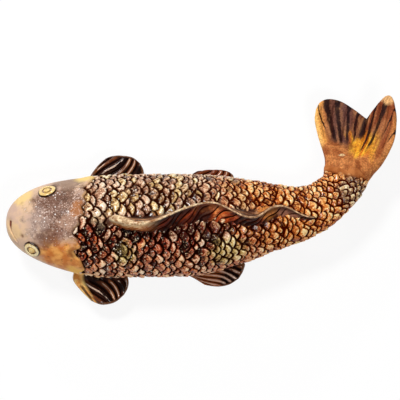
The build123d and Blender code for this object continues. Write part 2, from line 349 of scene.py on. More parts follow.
@dataclass(frozen=True)
class ScaleLattice:
    """Rows of overlapping stamped scales, set in quincunx round the body."""

    around: int = 24
    rear_around: int = 16
    change_run: float = 139.0
    front_pitch: float = 6.9
    rear_pitch: float = 5.0
    start_run: float = 40.0
    end_run: float = 184.0
    tongue: float = 1.3
    half_span: float = 0.6
    roundness: float = 1.7
    height_share: float = 0.2
    ring_sway: float = 0.16
    ring_ripple: float = 0.12
    column_sway: float = 0.1
    stray_across: float = 0.34
    stray_ahead: float = 0.75
    free_rise: float = 0.3
    under_rise: float = 0.62
    dome_share: float = 0.55
    tilt_share: float = 0.45
    change_sway: float = 2.2
    change_seam: float = 0.9

    @property
    def slope(self) -> float:
        """How fast the scales' length changes along the run."""
        return (self.rear_pitch - self.front_pitch) / (self.end_run - self.start_run)

    def pitch(self, run: Array) -> Array:
        """Length of a scale at a run."""
        return self.front_pitch + self.slope * (run - self.start_run)

    def ring(self, run: Array) -> Array:
        """Ring count at a run; neighbouring rings are half a scale apart."""
        return 2.0 / self.slope * np.log(self.pitch(run) / self.front_pitch)

    def run(self, ring: Array) -> Array:
        """Run at a ring count."""
        return self.start_run + self.front_pitch * (np.exp(ring * self.slope / 2.0) - 1.0) / self.slope

    def free_edge(self, across: Array) -> Array:
        """How far a scale's free edge lies behind its middle, in rings, at a share across it."""
        share = np.clip(np.abs(across) / self.half_span, 0.0, 1.0)
        return self.tongue * (1.0 - share**self.roundness) ** (1.0 / self.roundness)

    def cells(self, run: Array, roll: Array, around: int) -> dict[str, Array]:
        """Height and glaze masks of the scales for one count of scales round the body.

        Args:
            run: Distances from the snout.
            roll: Angles round the body.
            around: Scales in a ring.

        Returns:
            Height in millimetres, groove, dome, tilt and lip masks, and three scattered tones for each scale.
        """
        ring = self.ring(run)
        column = roll / (2.0 * np.pi) * around
        sway, ripple = np.sin(0.9 * ring + 1.3 * column), np.sin(2.1 * column - 0.4 * ring)
        ring = ring + self.ring_sway * sway + self.ring_ripple * ripple
        column = column + self.column_sway * np.sin(0.7 * ring - 1.9 * column)
        slant = self.front_pitch / (4.0 * np.pi)
        chosen = np.zeros(ring.shape, bool)
        cover = np.full(ring.shape, 9.0)
        keep = {name: np.zeros(ring.shape) for name in ("row", "place", "ahead", "margin")}
        for step in (-1, 0, 1):
            row = np.floor(ring) + step
            shift = 0.5 * np.mod(row, 2.0)
            place = np.round(column - shift)
            stray = [scatter(row, np.mod(place, around), seed) - 0.5 for seed in (7.0, 8.0)]
            across = column - shift - place + self.stray_across * stray[0]
            ahead = ring - row + self.stray_ahead * stray[1]
            lean = (self.free_edge(across + 0.01) - self.free_edge(across - 0.01)) / 0.02
            margin = (self.free_edge(across) - ahead) / np.sqrt(1.0 + (lean * slant) ** 2)
            take = ~chosen & ((margin > 0.0) | (step == 1))
            values = {"row": row, "place": np.mod(place, around), "ahead": ahead, "margin": margin}
            for name, value in values.items():
                keep[name] = np.where(take, value, keep[name])
            cover = np.where(~chosen & ~take, np.minimum(cover, -margin), cover)
            chosen |= take
        tones = {f"tone_{k}": scatter(keep["row"], keep["place"], k + 1.0) for k in range(3)}
        tilt = np.clip((keep["ahead"] + 0.7) / 2.0, 0.0, 1.0)
        free = np.clip(keep["margin"], 0.0, 1.0)
        under = np.clip(cover - 0.12 * tones["tone_2"], 0.0, 1.0)
        inside = np.clip(np.minimum(free / self.free_rise, under / self.under_rise), 0.0, 1.0)
        dome = 1.0 - (1.0 - inside) ** 2
        height = self.dome_share * dome + self.tilt_share * tilt * smoothstep(0.0, 0.14, free)
        height = height * (0.75 + 0.5 * tones["tone_0"]) * self.height_share * self.pitch(run)
        # The groove mask is widest on each scale's covered side, under the free edge of the scale above it;
        # the glaze paints that edge's shadow there in gap colour.
        groove = np.maximum(1.0 - smoothstep(0.04, 0.36, under), 0.4 * (1.0 - smoothstep(0.0, 0.07, free)))
        lip = smoothstep(0.03, 0.1, free) * (1.0 - smoothstep(0.16, 0.38, free)) * smoothstep(0.1, 0.4, under)
        return {"height": height, "groove": groove, "dome": dome, "tilt": tilt, "lip": lip, **tones}

    def relief(self, run: Array, roll: Array) -> dict[str, Array]:
        """Height and glaze masks of the scales, with fewer and wider scales behind the change.

        Args:
            run: Distances from the snout.
            roll: Angles round the body.

        Returns:
            The masks of the nearer count of scales.
        """
        past = run + self.change_sway * np.sin(5.0 * roll) - self.change_run
        front, rear = (self.cells(run, roll, count) for count in (self.around, self.rear_around))
        masks = {title: np.where(past > 0.0, rear[title], front[title]) for title in front}
        seam = 1.0 - smoothstep(0.0, self.change_seam, np.abs(past))
        masks["groove"] = np.maximum(masks["groove"], seam)
        for title in ("dome", "height"):
            masks[title] = masks[title] * (1.0 - seam)
        return masks


SCALES = ScaleLattice()


@dataclass(frozen=True)
class NapeRim:
    """Uneven free edge of the head, which laps over the front of the scales."""

    plain_run: float = 40.0
    wave_set: float = 0.8
    wave_height: float = 1.2
    waves: float = 10.0
    lap_run: float = 31.5
    proud: float = 0.55
    sink: float = 1.2
    corners: tuple[Point, ...] = (
        (0, 43.0), (18, 45.6), (30, 44.2), (40, 42.4), (47, 39.6), (55, 41.4), (63, 40.0), (70, 41.2),
        (77, 38.8), (85, 40.2), (91, 37.4), (98, 38.0), (104, 35.4), (110, 34.2), (119, 37.0), (127, 38.4),
        (134, 35.0), (140, 36.0), (147, 38.6), (156, 39.4), (166, 40.4), (173, 38.6), (180, 37.0),
    )

    def run(self, roll: Array) -> Array:
        """Run of the free edge at a roll: stepped over the back, plain under the belly."""
        turn = np.mod(roll, 2.0 * np.pi)
        degrees = np.degrees(turn)
        over = eased(self.corners, degrees)
        under = self.plain_run - self.wave_set + self.wave_height * np.abs(np.sin(turn * self.waves))
        return np.where(degrees <= 180.0, over, under)


RIM = NapeRim()


@dataclass
class ScaledBody:
    """Two hollow body halves with stamped scales, lapped under the head."""

    wall: float = 5.0
    cavity_end: float = 156.0
    rows_per_ring: int = 8
    columns_per_scale: int = 14
    inner_columns: int = 15
    last_scale_run: float = 182.0
    last_scale_slant: float = 3.3
    bed_depth: float = 0.85
    cavity_close: float = 8.0
    vent_place: Point = (-30.06, -14.59)
    vent_radius: float = 3.0
    vent_depth: float = 2.6

    def half(self, name: str, start: float, material: Glaze) -> None:
        """Make one half.

        Args:
            name: Name of the solid that the half stands for.
            start: Roll at which the half starts; it goes half a turn on.
            material: Glaze of the half.
        """
        first, last = SCALES.ring(np.array([RIM.lap_run + 0.5, FORM.spine.length]))
        runs = SCALES.run(np.linspace(first, last, int((last - first) * self.rows_per_ring)))
        outer_rolls = np.linspace(start, start + np.pi, SCALES.around // 2 * self.columns_per_scale + 1)
        inner_rolls = np.linspace(start + np.pi, start, self.inner_columns)
        run, roll = np.meshgrid(runs, outer_rolls, indexing="ij")
        bare, normal = bare_skin(run, roll)
        masks = SCALES.relief(run, roll)
        past_rim = run - RIM.run(roll)
        past_last = run - self.last_scale_run + self.last_scale_slant * np.cos(roll)
        shown = smoothstep(-0.6, 1.0, past_rim) * (1.0 - smoothstep(-2.0, 2.5, past_last))
        lift = (masks["height"] - self.bed_depth) * shown - RIM.sink * (1.0 - smoothstep(-0.8, 1.6, past_rim))
        outer = bare + normal * lift[..., None]
        inner_run, inner_roll = np.meshgrid(runs, inner_rolls, indexing="ij")
        close = smoothstep(self.cavity_end - self.cavity_close, self.cavity_end, inner_run)
        inset = self.wall + close * (FORM.half_width(inner_run) - self.wall - 0.5)
        inner = FORM.surface(inner_run, inner_roll, inset)
        points = np.concatenate([outer, inner, outer[:, :1]], axis=1)
        points[..., 2] = np.maximum(points[..., 2], 0.0)
        under = points[:, : outer_rolls.size]
        away = np.linalg.norm(under[..., :2] - self.vent_place, axis=-1) - self.vent_radius
        vent = (1.0 - smoothstep(-0.3, 0.2, away)) * (under[..., 2] < 0.5)
        under[..., 2] += self.vent_depth * vent
        spare = np.zeros(inner.shape[:2])
        # The groove mask is full just under the head's rim, so the glaze paints the overhanging head's shadow
        # there.
        rim_shadow = 1.0 - smoothstep(-0.5, 1.4, past_rim)
        glaze = {
            "groove": np.maximum(np.maximum(masks["groove"] * shown, vent), rim_shadow),
            "dome": masks["dome"] * shown,
            "flank": np.cos(roll),
            "along": (run - SCALES.start_run) / (SCALES.end_run - SCALES.start_run),
            "scaled": shown,
            **{title: masks[title] for title in ("tilt", "lip", "tone_0", "tone_1", "tone_2")},
        }
        wrapped = {
            title: np.concatenate([value, spare, value[:, :1]], axis=1) for title, value in glaze.items()
        }
        piece = make_grid(f"{name}_dressed", points, wrapped)
        finish_piece(piece, material)


@dataclass
class Eye:
    """Raised eye disc with an incised ring round its pupil."""

    run: float
    roll: float
    side: Side
    radius: float = 4.7
    proud: float = 1.4
    sunk: float = 2.2
    pupil_radius: float = 1.7
    ring_width: float = 0.62
    pupil_shift: Point = (0.0, 0.0)
    tall: float = 1.0
    sharp_angle: float = math.radians(50.0)
    columns: int = 64

    def frame(self) -> Matrix:
        """Place of the eye: its x along the fish and its z outwards, in millimetres."""
        steps = ((0.0, 0.0), (0.2, 0.0), (0.0, 0.02))
        at, ahead, aside = (FORM.surface(np.array(self.run + a), np.array(self.roll + b)) for a, b in steps)
        along, around = ahead - at, aside - at
        out = Vector(np.cross(around, along)).normalized()
        x_axis = Vector(along).normalized()
        y_axis = out.cross(x_axis)
        turn = Matrix((x_axis, y_axis, out)).transposed().to_4x4()
        return Matrix.Translation(Vector(at)) @ turn

    def settle(self, piece: Piece) -> None:
        """Put a piece made at the origin in millimetres in its place, in metres.

        Args:
            piece: Piece in the eye's own frame.
        """
        piece.data.transform(Matrix.Scale(MM, 4) @ self.frame())
        bpy.ops.object.select_all(action="DESELECT")
        piece.select_set(True)
        bpy.context.view_layer.objects.active = piece
        bpy.ops.object.shade_smooth_by_angle(angle=self.sharp_angle)

    def lathe(self, name: str, outline: Sequence[Point]) -> Piece:
        """Turn a half outline into a closed piece, not quite round, whose top is shifted aside.

        Args:
            name: Name of the piece.
            outline: Radii and heights, from the middle of the top to the middle of the bottom.

        Returns:
            The closed piece, in the eye's own frame.
        """
        turns = np.linspace(0.0, 2.0 * np.pi, self.columns + 1)
        radius, height = (np.array(column)[:, None] for column in zip(*outline))
        wobble = 1.0 + 0.06 * np.cos(2.0 * turns) + 0.025 * np.sin(3.0 * turns + 1.0)
        around = radius * (wobble + 0.015 * np.sin(7.0 * turns))
        lift = np.clip(height + self.sunk, 0.0, None) / (self.proud + self.sunk)
        x = around * np.cos(turns) + self.pupil_shift[0] * lift
        y = around * self.tall * np.sin(turns) + self.pupil_shift[1] * lift
        points = np.stack([x, y, height + 0.0 * x], axis=-1)
        points[:, -1] = points[:, 0]
        return make_grid(name, points / MM, {"ring": np.exp(-((height - 0.4) ** 2) / 0.3) + 0.0 * x})

    def build(self, eye_glaze: Glaze, pupil_glaze: Glaze) -> None:
        """Make the disc and the pupil.

        Args:
            eye_glaze: Glaze of the disc.
            pupil_glaze: Glaze of the pupil.
        """
        side, top, pupil = self.side.name.lower(), self.proud, self.pupil_radius
        rim = pupil + self.ring_width
        disc = [
            (0.0, 0.2), (rim - 0.1, 0.25), (rim, 0.5), (rim + 0.1, top - 0.2), (rim + 0.3, top),
            (self.radius - 1.3, top - 0.12), (self.radius - 0.6, top - 0.4), (self.radius - 0.15, top - 0.9),
            (self.radius, 0.1), (self.radius, -self.sunk), (0.0, -self.sunk),
        ]
        pellet = [
            (0.0, top + 0.25), (0.9, top + 0.2), (1.5, top + 0.05), (pupil - 0.2, top - 0.15),
            (pupil, top - 0.5), (pupil, 0.0), (0.0, 0.0),
        ]
        for part, outline, glaze in (("eye", disc, eye_glaze), ("pupil", pellet, pupil_glaze)):
            piece = self.lathe(f"{side}_{part}_dressed", outline)
            self.settle(piece)
            finish_piece(piece, glaze)


@dataclass
class Head:
    """Smooth hollow head with eyes, mouth slit and nostrils."""

    wall: float = 5.0
    snout_wall: float = 9.0
    lap_inset: float = 0.9
    rim_thickness: float = 0.75
    rim_drop: float = 0.8
    snout_crowding: float = 1.6
    outer_rows: int = 150
    columns: int = 240
    mouth: tuple[Point, ...] = (
        (2.1, -1.2), (2.1, -2.7), (2.4, -4.2), (2.9, -5.8), (3.7, -7.3), (4.7, -9.1), (6.0, -10.8),
    )
    mouth_depth: float = 1.2
    mouth_half: float = 0.62
    lip_height: float = 0.28
    lip_away: float = 1.9
    lip_half: float = 0.9
    nostril_depth: float = 0.7
    nostril_radius: float = 0.95
    eye_mound: float = 0.7
    mound_radius: float = 6.5
    nostrils: tuple[Place, ...] = ((8.6, -9.1, 1.0), (8.1, 8.2, 0.4))
    eyes: tuple[Eye, ...] = (
        Eye(13.4, math.radians(180.0 - 32.0), Side.LEFT, radius=4.4, pupil_shift=(0.5, -0.4), tall=1.12),
        Eye(21.0, math.radians(45.0), Side.RIGHT, pupil_shift=(0.5, -1.0)),
    )

    def on_top(self, run: float, lateral: float) -> Array:
        """Point of the upper surface at a run and a sideways place."""
        roll = math.acos(lateral / float(FORM.half_width(np.array(run))))
        return FORM.surface(np.array(run), np.array(roll))

    def carve(self, points: Array) -> tuple[Array, dict[str, Array]]:
        """Depth of the small marks at points of the surface.

        Args:
            points: Grid of points of the bare head.

        Returns:
            Heights to add in millimetres, and the masks of marks and of the painted shadow round the eyes.
        """
        line = np.array([self.on_top(*spot) for spot in self.mouth])
        shares = np.linspace(0.0, 1.0, 60)
        slit = smooth_path([tuple(spot) for spot in line], shares)
        away = np.full(points.shape[:2], 1e3)
        for spot, share in zip(slit, shares):
            thinner = 0.55 + 1.3 * float(smoothstep(0.1, 0.6, np.array(share)))
            away = np.minimum(away, np.linalg.norm(points - spot, axis=-1) * thinner)
        mouth = np.exp(-((away / self.mouth_half) ** 2))
        lips = np.exp(-(((away - self.lip_away) / self.lip_half) ** 2))
        lift = self.lip_height * lips - self.mouth_depth * mouth
        pit = np.zeros(points.shape[:2])
        for run, lateral, strength in self.nostrils:
            gone = np.linalg.norm(points - self.on_top(run, lateral), axis=-1)
            pit = np.maximum(pit, strength * np.exp(-((gone / self.nostril_radius) ** 2)))
        lift = lift - self.nostril_depth * pit
        # Painted shadow round each eye disc, faint in front and dark behind it.
        pool = np.zeros(points.shape[:2])
        for eye in self.eyes:
            spot = np.array(eye.frame().translation)
            gone = np.linalg.norm(points - spot, axis=-1)
            behind = smoothstep(-0.5, 3.5, points[..., 0] - spot[0])
            lift = lift + self.eye_mound * np.exp(-((gone / self.mound_radius) ** 2))
            pool = np.maximum(pool, (0.08 + 0.8 * behind) * np.exp(-(((gone - eye.radius) / 0.9) ** 2)))
        return lift, {"mouth": mouth, "pit": pit, "pool": pool}

    def build(self, material: Glaze, eye_glaze: Glaze, pupil_glaze: Glaze) -> None:
        """Make the head shell and the eyes.

        Args:
            material: Glaze of the shell.
            eye_glaze: Glaze of the eye discs.
            pupil_glaze: Glaze of the pupils.
        """
        rolls = np.linspace(0.0, 2.0 * np.pi, self.columns + 1)
        share, roll = np.meshgrid(np.linspace(0.0, 1.0, self.outer_rows), rolls, indexing="ij")
        run = RIM.run(roll) * share**self.snout_crowding
        bare, normal = bare_skin(run, roll)
        normal[0] = (-1.0, 0.0, 0.0)
        carving, marks = self.carve(bare)
        to_rim = RIM.run(roll) - run
        lip = RIM.proud * (1.0 - smoothstep(1.0, 7.0, to_rim))
        edge = self.rim_drop * (1.0 - smoothstep(0.0, 0.9, to_rim))
        outer = bare + normal * (carving + lip - edge)[..., None]
        under = bare[-1:] - normal[-1:] * self.rim_thickness
        row = 0.0 * rolls[None]
        insets = (self.lap_inset, self.wall)
        lap, step = (FORM.surface(RIM.lap_run + row, rolls[None], inset) for inset in insets)
        inner_run = RIM.lap_run + (self.snout_wall - RIM.lap_run) * np.linspace(0.0, 1.0, 12)[:, None] + row
        inner = FORM.surface(inner_run, 0.0 * inner_run + rolls[None], self.wall)
        floor = FORM.place(self.snout_wall + row, row, row)
        points = np.concatenate([outer, under, lap, step, inner, floor], axis=0)
        points[..., 2] = np.maximum(points[..., 2], 0.0)
        hidden = points.shape[0] - outer.shape[0]
        glaze = {**marks, "rim": 1.0 - smoothstep(0.0, 1.4, to_rim)}
        padded = {title: np.pad(value, ((0, hidden), (0, 0))) for title, value in glaze.items()}
        piece = make_grid("head_shell_dressed", points, padded)
        finish_piece(piece, material)
        for eye in self.eyes:
            eye.build(eye_glaze, pupil_glaze)


@dataclass
class RayFin:
    """Slab fin with rounded edges and combed rays: a four-sided patch from its root to its free edge."""

    name: str
    root: Sequence[Point]
    free_edge: Sequence[Point]
    front: Sequence[Point]
    rear: Sequence[Point]
    rays: float
    half_thickness: float
    ray_depth: float
    rows: int = 150
    columns: int = 70
    edge_width: float = 0.07
    ray_start: float = 0.12
    ray_sway: float = 0.0
    ray_lean: float = 0.0

    def plan(self) -> tuple[Array, Array, Array]:
        """Plan of the fin.

        Returns:
            Shares from front to rear, shares from root to free edge, and plan points.
        """
        shares = (np.linspace(0.0, 1.0, count) for count in (self.rows, self.columns))
        u, w = np.meshgrid(*shares, indexing="ij")
        root, edge = (smooth_path(curve, u[:, 0])[:, None] for curve in (self.root, self.free_edge))
        front, rear = (smooth_path(curve, w[0])[None] for curve in (self.front, self.rear))
        a, b = u[..., None], w[..., None]
        first, last = ((1 - b) * root[end, 0] + b * edge[end, 0] for end in (0, -1))
        return u, w, (1 - b) * root + b * edge + (1 - a) * (front - first) + a * (rear - last)

    def relief(self, u: Array, w: Array) -> tuple[Array, dict[str, Array]]:
        """Depth of the combed rays.

        Args:
            u: Shares from front to rear.
            w: Shares from root to free edge.

        Returns:
            Depths in millimetres, and the masks of grooves, ray tones, ray count and ridges.
        """
        sway = self.ray_sway * np.sin(3.0 * w + 5.0 * u) + 0.18 * np.sin(9.0 * u)
        count = (u - self.ray_lean * w) * self.rays + sway
        wave = np.abs(np.sin(np.pi * count))
        lane = scatter(np.floor(count), 0.0 * count, 3.0)
        fade = smoothstep(self.ray_start, self.ray_start + 0.2, w) * (1.0 - 0.75 * smoothstep(0.86, 1.0, w))
        fade = fade * smoothstep(0.02, 0.09, u) * smoothstep(0.02, 0.09, 1.0 - u)
        groove = (1.0 - smoothstep(0.05, 0.62, wave)) * fade * (0.65 + 0.35 * lane)
        masks = {"groove": groove, "lane": lane, "ray": count, "ridge": wave * fade}
        return self.ray_depth * fade * (wave - 0.75), masks

    def to_edge(self, u: Array, w: Array) -> Array:
        """Way to the nearest free edge, in widths of the rounded edge."""
        return np.minimum(np.minimum(u, 1.0 - u), 1.0 - w) / self.edge_width

    def rounding(self, u: Array, w: Array) -> Array:
        """Share of the full thickness near the rounded edges."""
        return np.sqrt(1.0 - (1.0 - np.clip(self.to_edge(u, w), 0.0, 1.0)) ** 2)

    def fold(self, middle: Array, thickness: Array, u: Array, w: Array) -> Piece:
        """Fold a grid over the fin's edge, from its upper to its lower face.

        Args:
            middle: Middle surface, in millimetres.
            thickness: Half-thickness over the surface.
            u: Shares from front to rear.
            w: Shares from root to free edge.

        Returns:
            The closed fin.
        """
        normal = look_towards(grid_normals(middle), np.array([0.0, 0.0, 1.0]))
        comb, marks = self.relief(u, w)
        full = self.rounding(u, w)
        offset = normal * (thickness * full + comb * full)[..., None]
        points = np.concatenate([middle + offset, (middle - offset)[:, -2::-1]], axis=1)
        edge = 1.0 - smoothstep(0.0, 2.6, self.to_edge(u, w))
        masks = {**marks, "edge": edge, "across": u, "reach": w}
        folded = {title: np.concatenate([value, value[:, -2::-1]], axis=1) for title, value in masks.items()}
        return make_grid(f"{self.name}_dressed", points, folded)


@dataclass
class Paddle:
    """Pectoral or pelvic fin on one flank."""

    name: str
    side: Side
    run: float
    chord: float
    reach: float
    drop: float
    rays: float
    lead: tuple[Point, ...] = ((0.0, 0.0), (0.13, 0.5), (0.3, 0.85))
    tip: tuple[Point, ...] = ((0.45, 0.99), (0.62, 1.0), (0.8, 0.92))
    trail: tuple[Point, ...] = ((0.94, 0.66), (1.0, 0.36), (1.0, 0.0))
    ray_lean: float = 0.42
    droop: float = math.radians(10.0)
    half_thickness: float = 1.7
    root_depth: float = 6.5
    root_shares: tuple[float, ...] = (0.06, 0.3, 0.55, 0.92)
    arch: float = 1.2
    thinning: float = 0.35

    def build(self, material: Glaze) -> None:
        """Make the fin.

        Args:
            material: Glaze of the fin.
        """
        chord, reach = self.chord, self.reach
        parts = (self.lead, self.tip, self.trail)
        lead, tip, trail = ([(along * chord, out * reach) for along, out in part] for part in parts)
        root = [(share * chord, -self.root_depth) for share in self.root_shares]
        leading, trailing = [root[0], *lead], [root[-1], *trail[::-1]]
        edge = [lead[-1], *tip, trail[0]]
        fin = RayFin(
            self.name, root, edge, leading, trailing, self.rays, self.half_thickness, ray_depth=1.0, rows=150,
            columns=90, ray_start=0.24, ray_sway=0.2, ray_lean=self.ray_lean,
        )
        u, w, plan = fin.plan()
        middle_run = self.run + chord / 2.0
        flank = float(FORM.half_width(np.array(middle_run)))
        outward = flank + plan[..., 1]
        sag = self.drop + outward * math.tan(self.droop) - self.arch * np.sin(np.pi * w) * (1.0 - u)
        origin = FORM.place(np.array(middle_run), np.array(0.0), np.array(0.0))
        heading = float(FORM.spine.place(np.array(middle_run))[2])
        ahead = np.array([math.cos(heading), math.sin(heading), 0.0])
        right = np.array([-ahead[1], ahead[0], 0.0])
        middle = origin + (plan[..., :1] - chord / 2.0) * ahead + self.side.value * outward[..., None] * right
        middle[..., 2] -= sag
        piece = fin.fold(middle, self.half_thickness * (1.0 - self.thinning * w), u, w)
        finish_piece(piece, material)


@dataclass
class TailFin:
    """Forked tail: two cupped lobes that spread from a thick round root."""

    sheet_radius: float = 52.0
    sheet_offset: float = 19.8
    half_thickness: float = 1.6
    root_length: float = 15.0
    sink: float = 3.0
    thinning: float = 0.3
    inner_edge: tuple[Point, ...] = ((13.8, 1.0), (16.0, 5.5), (20.2, 12.5), (24.2, 20.5), (25.2, 26.4))
    outer_edge: tuple[Point, ...] = ((-12.6, 0.5), (-15.6, 6.0), (-17.6, 12.5), (-18.1, 19.5), (-16.6, 28.0))
    trailing_edge: tuple[Point, ...] = (
        (24.0, 30.8), (20.2, 33.6), (13.7, 33.9), (6.0, 31.2), (-0.9, 27.8), (-1.7, 27.7), (-2.2, 28.8),
        (-4.5, 34.4), (-7.3, 39.8), (-9.6, 41.4), (-12.2, 39.6), (-15.0, 33.4),
    )

    def build(self, material: Glaze) -> None:
        """Make the tail.

        Args:
            material: Glaze of the tail.
        """
        wide = FORM.wrist_half_width
        bulged = wide + FORM.wrist_bulge
        root = [(place, -self.sink) for place in (bulged, 0.4 * wide, -0.4 * wide, -wide)]
        inner, outer = [root[0], *self.inner_edge], [root[-1], *self.outer_edge]
        trailing = [inner[-1], *self.trailing_edge, outer[-1]]
        fin = RayFin(
            "tail_fin", root, trailing, inner, outer, rays=10.0, half_thickness=self.half_thickness,
            ray_depth=0.8, rows=260, columns=120, edge_width=0.05, ray_start=0.3, ray_sway=0.15,
        )
        u, w, plan = fin.plan()
        across, out = plan[..., 0], plan[..., 1]
        low = math.sqrt(self.sheet_radius**2 - self.sheet_offset**2)
        bowl = low - np.sqrt(np.maximum(self.sheet_radius**2 - (across - self.sheet_offset) ** 2, 1.0))
        spread = smoothstep(0.0, self.root_length, out)
        end = np.full(across.shape, FORM.spine.length)
        middle = FORM.place(end + out, across, bowl * spread)
        round_root = FORM.wrist_half_height * np.sqrt(np.clip(1.0 - (2.0 * u - 1.0) ** 2, 0.0, 1.0))
        rounding = fin.rounding(u, w)
        thin = self.half_thickness * (1.0 - self.thinning * w) * rounding
        full = np.maximum(rounding, 1e-3)
        thickness = ((1.0 - spread) * round_root + spread * thin) / full
        thickness = np.where((u <= 0.0) | (u >= 1.0), 0.0, thickness)
        piece = fin.fold(middle, thickness, u, w)
        finish_piece(piece, material)


@dataclass
class DorsalFin:
    """Long wavy fin along the back, swept out into it on the fish's left."""

    run: float = 53.0
    length: float = 105.0
    height: float = 9.0
    lean: tuple[Point, ...] = ((0.0, -1.3), (0.14, -5.2), (0.49, 4.9), (0.7, -4.2), (0.835, 1.4), (1.0, -6.0))
    crest_half: tuple[Point, ...] = (
        (0.0, 0.4), (0.02, 1.5), (0.06, 2.0), (0.13, 1.3), (0.2, 0.8), (0.3, 0.6), (0.55, 0.45), (0.68, 0.55),
        (1.0, 0.4),
    )
    left_foot: tuple[Point, ...] = (
        (0.0, -2.2), (0.03, -4.8), (0.1, -7.2), (0.2, -9.4), (0.5, -9.7), (0.6, -9.2), (0.76, -9.4),
        (0.85, -10.6), (0.93, -10.2), (1.0, -9.7),
    )
    right_foot: tuple[Point, ...] = (
        (0.0, -0.6), (0.04, 0.7), (0.14, 1.1), (0.5, 3.5), (0.7, 3.6), (0.84, 2.1), (1.0, -4.7),
    )
    left_hollow: float = 1.75
    right_hollow: float = 1.25
    front_share: float = 0.045
    cap_share: float = 0.75
    sunk: float = 2.0
    ray_pitch: float = 4.4
    ray_sweep: float = 17.0
    ray_depth: float = 0.9
    rows: int = 440
    left_columns: int = 60
    cap_columns: int = 14
    right_columns: int = 36

    def crest_height(self, share: Array) -> Array:
        """Height of the crest over the back at a share of the length."""
        lack = 1.0 - np.clip(share / self.front_share, 0.0, 1.0)
        return self.height * np.sin(np.pi * share**0.55) ** 0.6 * np.sqrt(1.0 - lack**2)

    def face(
        self, share: Array, climb: Array, foot: Array, top: Array, rise: Array, hollow: float
    ) -> tuple[Array, Array, Array, Array]:
        """One face of the fin, from its foot in the back up to the crest.

        Args:
            share: Shares of the length.
            climb: Shares of the way up.
            foot: Sideways place of the foot.
            top: Sideways place of the crest's edge.
            rise: Height of the crest over the seam.
            hollow: How hollow the face is.

        Returns:
            Sideways places, heights over the seam, the ray grooves and the ray count.
        """
        run = self.run + self.length * share
        start = FORM.back(run, foot) - self.sunk
        sway = 0.35 * np.sin(0.21 * run) + 0.2 * np.sin(0.57 * run + 1.0)
        count = (run - self.ray_sweep * climb) / self.ray_pitch + sway
        wave = np.abs(np.sin(np.pi * count))
        fade = smoothstep(0.12, 0.4, climb) * (1.0 - smoothstep(0.9, 1.0, climb))
        fade = fade * smoothstep(0.0, 0.06, share)
        strength = fade * (0.5 + 0.5 * scatter(np.floor(count), 0.0 * count, 5.0))
        comb = self.ray_depth * strength * (wave - 0.6)
        lateral = foot + (top - foot) * climb + np.sign(foot - top) * comb
        height = start + (rise - start) * climb**hollow + 0.4 * comb
        return lateral, height, (1.0 - smoothstep(0.1, 0.7, wave)) * strength, count

    def build(self, material: Glaze) -> None:
        """Make the fin.

        Args:
            material: Glaze of the fin.
        """
        shares = np.linspace(0.004, 0.992, self.rows)[:, None]
        run = self.run + self.length * shares
        lean, half = eased(self.lean, shares), eased(self.crest_half, shares)
        rise = FORM.back(run, lean) + self.crest_height(shares)
        parts = []
        for columns, foot, side, hollow in (
            (self.left_columns, self.left_foot, -1.0, self.left_hollow),
            (self.right_columns, self.right_foot, 1.0, self.right_hollow),
        ):
            climb = np.linspace(0.0, 1.0, columns)[None] + 0.0 * shares
            share = shares + 0.0 * climb
            top = lean + side * half
            lateral, height, groove, count = self.face(share, climb, eased(foot, share), top, rise, hollow)
            none = 0.0 * climb
            parts.append((lateral, height, share, groove, climb, none + side, none, count))
        turn = np.linspace(np.pi, 0.0, self.cap_columns)[None, 1:-1]
        cap_lateral = lean + half * np.cos(turn)
        wobble = 1.0 + 0.1 * np.sin(0.9 * run + 2.0 * turn)
        cap_height = rise + self.cap_share * half * np.sin(turn) * wobble
        flat = 0.0 * cap_lateral
        full = flat + 1.0
        cap_masks = (flat, full, np.cos(turn) + flat, full, run / self.ray_pitch + flat)
        cap = (cap_lateral, cap_height, shares + flat, *cap_masks)
        sides = zip(parts[0], cap, parts[1])
        columns = [np.concatenate([a, b, c[:, ::-1], a[:, :1]], axis=1) for a, b, c in sides]
        lateral, height, share = columns[:3]
        masks = dict(zip(("groove", "climb", "flank", "crest", "ray"), columns[3:]), share=share)
        points = FORM.place(self.run + self.length * share, lateral, height)
        piece = make_grid("dorsal_fin_dressed", points, masks)
        finish_piece(piece, material)


def linear_colour(shade: Shade) -> Colour:
    """Linear colour of a glaze from its screen values."""
    red, green, blue = (((v / 255.0 + 0.055) / 1.055) ** 2.4 if v > 10 else v / 255.0 / 12.92 for v in shade)
    return (red, green, blue, 1.0)


@dataclass
class Signal:
    """Value in a shader, with which sums can be written."""

    bench: "NodeBench"
    socket: Socket

    def __add__(self, other: object) -> "Signal":
        """Sum with another value."""
        return self.bench.math("ADD", self, other)

    def __sub__(self, other: object) -> "Signal":
        """Difference from another value."""
        return self.bench.math("SUBTRACT", self, other)

    def __rsub__(self, other: float) -> "Signal":
        """Difference of a number from this value."""
        return self.bench.math("SUBTRACT", other, self)

    def __mul__(self, other: object) -> "Signal":
        """Product with another value."""
        return self.bench.math("MULTIPLY", self, other)

    def __truediv__(self, other: object) -> "Signal":
        """Share of another value."""
        return self.bench.math("DIVIDE", self, other)

    def __abs__(self) -> "Signal":
        """The value without its sign."""
        return self.bench.math("ABSOLUTE", self)

    def clamped(self) -> "Signal":
        """The value kept between 0 and 1."""
        return self.bench.math("ADD", self, 0.0, clamp=True)

    def ease(self, low: float, high: float, bottom: float = 0.0, top: float = 1.0) -> "Signal":
        """Ease the value from one range to another."""
        feeds = {"Value": self, "From Min": low, "From Max": high, "To Min": bottom, "To Max": top}
        return self.bench.value("ShaderNodeMapRange", feeds, interpolation_type="SMOOTHSTEP")


